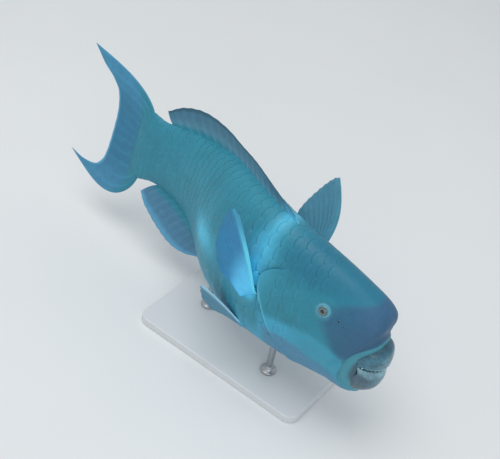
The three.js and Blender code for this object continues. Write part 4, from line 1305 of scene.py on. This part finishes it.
def beak_plate(name):
    """One plate: ribs for the columns of teeth, staggered tiles near the cutting edge, a scalloped
    edge and a rounded rim. cut runs from 0 at the root to 1 at the cutting edge."""
    plate = BEAK_PLATES[name]
    v, u = np.meshgrid(np.linspace(0, 1, BEAK_ROWS), np.linspace(0, 1, BEAK_COLUMNS), indexing="ij")
    cut = v if name == "upper" else 1 - v
    scallop = SCALLOP * np.abs(np.sin(np.pi * TEETH_AROUND * u)) * smooth(cut, 0.7, 1)
    middle = place(*beak_middle(plate, u, v + scallop * (1 if name == "upper" else -1)))
    row = TEETH_ALONG * cut
    stagger = 0.5 * (np.floor(row) % 2)
    tile = np.abs(np.sin(np.pi * (TEETH_AROUND * u + stagger))) ** 0.6 * np.abs(np.sin(np.pi * row)) ** 0.4
    teeth = tile * smooth(cut, 0.45, 0.8)
    ribs = np.abs(np.sin(np.pi * TEETH_AROUND * u)) ** 0.5
    half = BEAK_THICK * (1 - 0.35 * np.abs(2 * u - 1) ** 3) - 0.4 + TILE_RISE * teeth + RIB_RISE * ribs
    rim = np.minimum(np.minimum(u, 1 - u) * 30, np.minimum(v, 1 - v) * 14)
    half = half * np.sqrt(np.clip(1 - (1 - np.clip(rim, 0, 1)) ** 2, 0.06, 1))
    tone = toward(BEAK_TONE + 0 * u[..., None], BEAK_DARK, 0.75 * (1 - smooth(cut, 0.1, 0.5)))
    if name == "lower":
        tone = toward(tone, BEAK_BROWN, 0.8 * smooth(np.abs(u - 0.5), 0.1, 0.3))
    front = bell(u - 0.42, 0.2)
    tone = toward(tone, BEAK_LIGHT, 0.6 * front * smooth(cut, 0.35, 0.7) * (1 if name == "upper" else 0.5))
    if name == "upper":
        tone = toward(tone, BEAK_EDGE, 0.5 * smooth(cut, 0.88, 0.96))
    else:
        tone = toward(tone, BEAK_EDGE, 0.9 * smooth(cut, 0.62, 0.88))
    tone = tone * (1 - 0.2 * (1 - tile) * smooth(cut, 0.5, 0.8))[..., None]
    uv = np.stack([u, cut], axis=-1)
    piece = plate_piece(f"beak_plate_{name}", middle, half, np.clip(tone, 0, 1), uv)
    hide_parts(f"beak_{name}")
    return piece


def corner_tooth(side):
    """A cone bent towards the back: circles about a curve, their radius falling as the root of the
    share that is left to the tip."""
    length = TOOTH["length"]
    share = np.linspace(0, 1, TOOTH["rings"])[:, None]
    turn = (2 * np.pi * np.arange(TOOTH["sides"]) / TOOTH["sides"])[None, :]
    u = np.array([0.5 + side * TOOTH["from_middle"]])
    s, n, z = beak_middle(BEAK_PLATES["upper"], u, np.array([TOOTH["down"]]))
    width = TOOTH["radius"] * np.sqrt(1 - share * TOOTH["taper"])
    out = np.abs(n[0]) + length * (share - TOOTH["root"] / length) * TOOTH["slant"]
    tooth_s = s[0] + TOOTH["bend"] * share ** 2 + width * np.cos(turn)
    tooth_n = side * out + width * np.sin(turn) * TOOTH["wide"]
    tooth_z = z[0] - length * share * TOOTH["slant"] + width * np.sin(turn) * TOOTH["deep"]
    points = place(tooth_s, tooth_n, tooth_z)
    ends = np.array([points[0].mean(axis=0), points[-1].mean(axis=0)])
    tints = np.broadcast_to(TOOTH_TONE, (points.shape[0] * points.shape[1] + 2, 3))
    return tube_piece("corner_tooth_left" if side > 0 else "corner_tooth_right", points, ends,
                      tint=tints)


enamel = beak_finish()
enamel.put_on(beak_plate("upper"), beak_plate("lower"))
tooth_enamel = Finish("tooth_enamel", Roughness=0.25, Coat_Weight=0.3)
tooth_enamel.connect(tooth_enamel.attribute("tint"), "Base Color")
tooth_enamel.put_on(corner_tooth(1), corner_tooth(-1))

# %% [markdown]
# An eye is a ball sunk in its socket: a dark pupil that bulges through a speckled iris, under a wet
# cornea. The gloss comes from a clear coat on the ball, as a real glass shell over it would only
# darken the iris in the shade of its own refraction. Lids and nostrils are folds of skin round it,
# and a near-black pit in each nostril is painted shade in the opening.

# %% Eyes, lids and nostrils
# Angles from the eye's axis, in radians.
PUPIL = 0.34
IRIS = 0.74
EYE_ANGLES = np.concatenate([np.linspace(0.02, 1.1, 44), np.linspace(1.2, 3.1, 16)])
LENS = {"rise": 0.035, "width": 0.3}
LENS_GROOVE = {"depth": 0.03, "at": 0.4, "width": 0.12}
# Radii of lids and nostrils: major as a share of the eye or the nostril, sunk and lid minor in mm.
LID = {"major": 0.84, "minor": 1.35, "sunk": 0.1, "flare": 0.25}
NOSTRIL_RING = {"major": 0.8, "minor": 0.36, "sunk": -0.15, "flare": 0.4}
PIT_RADIUS = 0.75
PIT_SINKS = 0.0002
PIT_ANGLES = np.linspace(0.05, 3.1, 10)
PIT_SIDES = 20
EYE_SIDES = 72
RING_SIDES = 72
RING_ROUND = 20
RING_LEANS = 0.6
RING_WIDE = 1.25
RING_HIGH = 0.8
PUPIL_TONE = srgb(22, 30, 34)
IRIS_INNER = srgb(116, 134, 126)
IRIS_TONE = srgb(62, 96, 104)
IRIS_RIM = srgb(96, 138, 150)
LID_TONE = srgb(88, 158, 178)
NOSTRILS = [{"s": 60, "z": 30.5, "radius": 2.1}, {"s": 53.5, "z": 27.5, "radius": 1.4}]


def cheek_frame(s, z, side):
    """Point on the cheek and three directions there: outwards, back and up."""
    here = place(s, side * flank_width(s, z), z)
    back = place(s + 2, side * flank_width(s + 2, z), z) - here
    upward = place(s, side * flank_width(s, z + 2), z + 2) - here
    outward = side * np.cross(back, upward)
    outward = outward / np.linalg.norm(outward)
    back = back / np.linalg.norm(back)
    return here, outward, back, np.cross(outward, back) * side


def dome(name, centre, axes, radius_at, angles, around, tint_at):
    """A surface round an axis: at the angle a from it, the radius r(a) from the centre."""
    outward, back, upward = axes
    a = angles[:, None]
    turn = (2 * np.pi * np.arange(around) / around)[None, :]
    r = radius_at(a, turn) * METRES
    ray = (np.cos(a)[..., None] * outward + (np.sin(a) * np.cos(turn))[..., None] * back
           + (np.sin(a) * np.sin(turn))[..., None] * upward)
    points = centre + r[..., None] * ray
    ends = np.array([points[0].mean(axis=0), points[-1].mean(axis=0)])
    tint = tint_at(np.broadcast_to(a, r.shape), np.broadcast_to(turn, r.shape)).reshape(-1, 3)
    tints = np.concatenate([tint, tint[:1], tint[-1:]])
    uv = np.stack(np.meshgrid(np.linspace(0, 1, around + 1), angles / np.pi), axis=-1)
    return tube_piece(name, points, ends, uv, tint=tints)


def eye_radius(a, turn):
    """The ball, with the pupil's lens standing out and a shallow groove round the lens."""
    lens = LENS["rise"] * bell(a, LENS["width"])
    groove = LENS_GROOVE["depth"] * bell(a - LENS_GROOVE["at"], LENS_GROOVE["width"])
    return EYE["radius"] * (1 + lens - groove) + 0 * turn


def eye_colour(a, turn):
    """A dark pupil, a light ring round it, a speckled iris and a pale rim."""
    speckle = 0.5 + 0.5 * np.sin(13 * turn + 9 * a) * np.sin(29 * turn - 4 * a)
    colour = toward(IRIS_TONE + 0 * a[..., None], IRIS_TONE * 0.7, 0.5 * speckle)
    colour = toward(colour, IRIS_INNER, bell(a - PUPIL - 0.06, 0.06))
    colour = toward(colour, IRIS_RIM, smooth(a, IRIS - 0.08, IRIS + 0.02))
    return toward(colour, PUPIL_TONE, 1 - smooth(a, PUPIL - 0.03, PUPIL + 0.02))


def lid_ring(name, spot, major, minor, colour, sunk=0.0, flare=0.0):
    """A ring of skin: a circle of the minor radius carried round one of the major radius, a little
    thicker above and in front."""
    here, outward, back, upward = spot
    turn = (2 * np.pi * np.arange(RING_SIDES) / RING_SIDES)[:, None]
    small = (2 * np.pi * np.arange(RING_ROUND) / RING_ROUND)[None, :]
    thick = minor * (1 + flare * np.sin(turn - RING_LEANS))
    wide = major + thick * np.cos(small) * RING_WIDE
    radial = np.cos(turn)[..., None] * back + np.sin(turn)[..., None] * upward
    lift = thick * np.sin(small) * RING_HIGH - sunk
    points = here + (wide[..., None] * radial + lift[..., None] * outward) * METRES
    rows, columns = points.shape[:2]
    weld = (np.arange(rows + 1)[:, None] % rows * columns + np.arange(columns + 1)[None, :] % columns).ravel()
    faces = [weld[grid_faces(rows + 1, columns + 1)]]
    tints = np.broadcast_to(colour, (rows * columns, 3))
    return new_piece(name, points, faces, tint=tints)


eye_finish = Finish("eye", Roughness=0.22, Coat_Weight=1.0, Coat_Roughness=0.03, Coat_IOR=1.4)
grain = eye_finish.spread(eye_finish.noise(700.0, detail=3.0), 0.85, 1.15)
eye_finish.connect(eye_finish.scaled(eye_finish.attribute("tint"), grain), "Base Color")
for name, side in (("left", 1), ("right", -1)):
    spot = cheek_frame(EYE["s"], EYE["z"], side)
    here, outward, back, upward = spot
    centre = here - outward * EYE["radius"] * (1 - EYE["bulge"]) * METRES
    ball = dome(f"eyeball_{name}", centre, spot[1:], eye_radius, EYE_ANGLES, EYE_SIDES, eye_colour)
    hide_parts(f"eye_{name}")
    eye_finish.put_on(ball)
    skin.put_on(lid_ring(f"eyelid_{name}", spot, EYE["radius"] * LID["major"], LID["minor"], LID_TONE,
                         LID["sunk"], LID["flare"]))
    for index, nostril in enumerate(NOSTRILS, start=1):
        hole = cheek_frame(nostril["s"], nostril["z"], side)
        radius = nostril["radius"]
        skin.put_on(lid_ring(f"nostril_{name}_{index}", hole, radius * NOSTRIL_RING["major"],
                             radius * NOSTRIL_RING["minor"], SNOUT_SIDE * 1.1,
                             NOSTRIL_RING["sunk"], NOSTRIL_RING["flare"]))
        # The pit is tinted near black with the pupil's tone: painted shade inside the nostril.
        pit = dome(f"nostril_shade_pit_{name}_{index}", hole[0] - hole[1] * PIT_SINKS, hole[1:],
                   lambda a, turn: radius * PIT_RADIUS * (0.2 + 0.8 * np.sin(a)) + 0 * turn,
                   PIT_ANGLES, PIT_SIDES,
                   lambda a, turn: PUPIL_TONE + 0 * a[..., None])
        skin.put_on(pit)

# %% [markdown]
# The stand is plain: a painted base and two brushed rods, as a museum would hold a fish that swims.
# Its solids are kept as they are and only given a finish. Each rod gets a turned foot, a profile
# spun about the rod's axis.

# %% Stand
PAINT = srgb(214, 217, 219)
STEEL = srgb(176, 180, 184)
FOOT_SIDES = 64
FOOT_PROFILE = [(4.15, 9.0), (4.6, 8.6), (5.0, 6.6), (6.2, 4.4), (8.6, 3.0), (9.4, 2.4), (9.6, 1.2),
                (9.4, 0.1)]

paint_finish = Finish("stand_paint", Roughness=0.45, Coat_Weight=0.15, Coat_Roughness=0.25)
flecks = paint_finish.spread(paint_finish.noise(900.0, detail=2.0), 0.96, 1.02)
tone = paint_finish.node("ShaderNodeRGB").outputs[0]
tone.default_value = rgba(PAINT)
paint_finish.connect(paint_finish.scaled(tone, flecks), "Base Color")
paint_finish.bump(paint_finish.noise(1400.0, detail=2.0), 0.25, 0.0001)

steel_finish = Finish("brushed_steel", Roughness=0.32, Metallic=1.0)
brushed = steel_finish.noise(500.0, (1, 1, 0.04), detail=4.0)
tone = steel_finish.node("ShaderNodeRGB").outputs[0]
tone.default_value = rgba(STEEL)
steel_finish.connect(steel_finish.scaled(tone, steel_finish.spread(brushed, 0.88, 1.08)), "Base Color")
steel_finish.connect(steel_finish.spread(brushed, 0.25, 0.4), "Roughness")
steel_finish.bump(brushed, 0.2, 0.0001)


def rod_foot(name, rod):
    """The profile of radius and height, spun about the rod's axis on top of the base."""
    low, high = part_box(rod)
    centre = (low + high) / 2
    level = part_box("stand_base")[1].z
    radius, rise = np.array(FOOT_PROFILE).T
    turn = (2 * np.pi * np.arange(FOOT_SIDES) / FOOT_SIDES)[None, :]
    points = np.stack([centre.x + radius[:, None] * METRES * np.cos(turn),
                       centre.y + radius[:, None] * METRES * np.sin(turn),
                       np.broadcast_to(level + rise[:, None] * METRES, (len(radius), FOOT_SIDES))], axis=-1)
    ends = np.array([points[0].mean(axis=0), points[-1].mean(axis=0)])
    return tube_piece(name, points, ends)


paint_finish.put_on(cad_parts["stand_base"])
for name in ("front", "rear"):
    foot = rod_foot(f"stand_foot_{name}", f"stand_rod_{name}")
    steel_finish.put_on(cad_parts[f"stand_rod_{name}"], foot)

# %% [markdown]
# The room is a pale floor under soft light: an even sky, a broad lamp overhead and a weak one from
# the side of the camera. The camera looks down from the fish's right, as the photograph does, with
# its own tilt about the line of sight.

# %% Floor, light and camera
FLOOR_TONE = srgb(226, 228, 229)
FLOOR_SIZE = 6.0
SKY_STRENGTH = 0.62
SKY_TONE = (0.93, 0.97, 1.0, 1.0)
# The point the camera turns about, and the camera's own axes: towards it, to its right and up.
PIVOT = np.array([-2.0, -21.0, 139.0]) * METRES
TO_CAMERA = np.array([0.3602, -0.6586, 0.6607])
RIGHT = np.array([0.786, 0.5957, 0.1653])
UP = np.array([-0.5025, 0.4598, 0.7322])
DISTANCE = 1.14755
FOCAL_PIXELS = 1038.6
IMAGE_WIDTH = 500
OFF_CENTRE = (2.098, 35.926)
SENSOR = 36.0

floor_mesh = bpy.data.meshes.new("floor")
half = FLOOR_SIZE / 2
floor_corners = [(-half, -half, 0), (half, -half, 0), (half, half, 0), (-half, half, 0)]
floor_mesh.from_pydata(floor_corners, [], [(0, 1, 2, 3)])
floor = bpy.data.objects.new("floor", floor_mesh)
bpy.context.scene.collection.objects.link(floor)
floor_finish = Finish("pale_floor", Roughness=0.85)
cloudy = floor_finish.spread(floor_finish.noise(3.0), 0.985, 1.015)
tone = floor_finish.node("ShaderNodeRGB").outputs[0]
tone.default_value = rgba(FLOOR_TONE)
floor_finish.connect(floor_finish.scaled(tone, cloudy), "Base Color")
floor_finish.put_on(floor)

world = bpy.data.worlds.new("studio")
world.use_nodes = True
world.node_tree.nodes["Background"].inputs["Color"].default_value = SKY_TONE
world.node_tree.nodes["Background"].inputs["Strength"].default_value = SKY_STRENGTH
bpy.context.scene.world = world
bpy.context.scene.view_settings.view_transform = "Standard"


def lamp(name, place_at, size, power):
    """A square area lamp that looks at the middle of the fish."""
    data = bpy.data.lights.new(name, "AREA")
    data.size = size
    data.energy = power
    light = bpy.data.objects.new(name, data)
    light.location = place_at
    light.rotation_mode = "QUATERNION"
    toward_fish = Vector((0, 0, AXIS_HEIGHT * METRES)) - Vector(place_at)
    light.rotation_quaternion = toward_fish.to_track_quat("-Z", "Y")
    bpy.context.scene.collection.objects.link(light)


lamp("overhead", (-0.2, -0.3, 1.9), size=1.4, power=16.0)
lamp("side", (1.3, -1.5, 0.9), size=1.2, power=5.0)

aim = -TO_CAMERA - RIGHT * OFF_CENTRE[0] / FOCAL_PIXELS + UP * OFF_CENTRE[1] / FOCAL_PIXELS
aim /= np.linalg.norm(aim)
right = np.cross(aim, UP)
right /= np.linalg.norm(right)
upright = np.cross(right, aim)
eye_point = PIVOT + TO_CAMERA / np.linalg.norm(TO_CAMERA) * DISTANCE
camera_data = bpy.data.cameras.new("camera")
camera_data.sensor_width = SENSOR
camera_data.sensor_fit = "HORIZONTAL"
camera_data.lens = FOCAL_PIXELS / IMAGE_WIDTH * SENSOR
camera_data.clip_start = 0.05
camera_data.clip_end = 50.0
camera = bpy.data.objects.new("camera", camera_data)
camera.matrix_world = Matrix([[*[float(v[i]) for v in (right, upright, -aim, eye_point)]] for i in range(3)]
                             + [[0, 0, 0, 1]])
bpy.context.scene.collection.objects.link(camera)
bpy.context.scene.camera = camera
print("camera height:", round(float(eye_point[2]), 3), "lens:", round(camera_data.lens, 1))
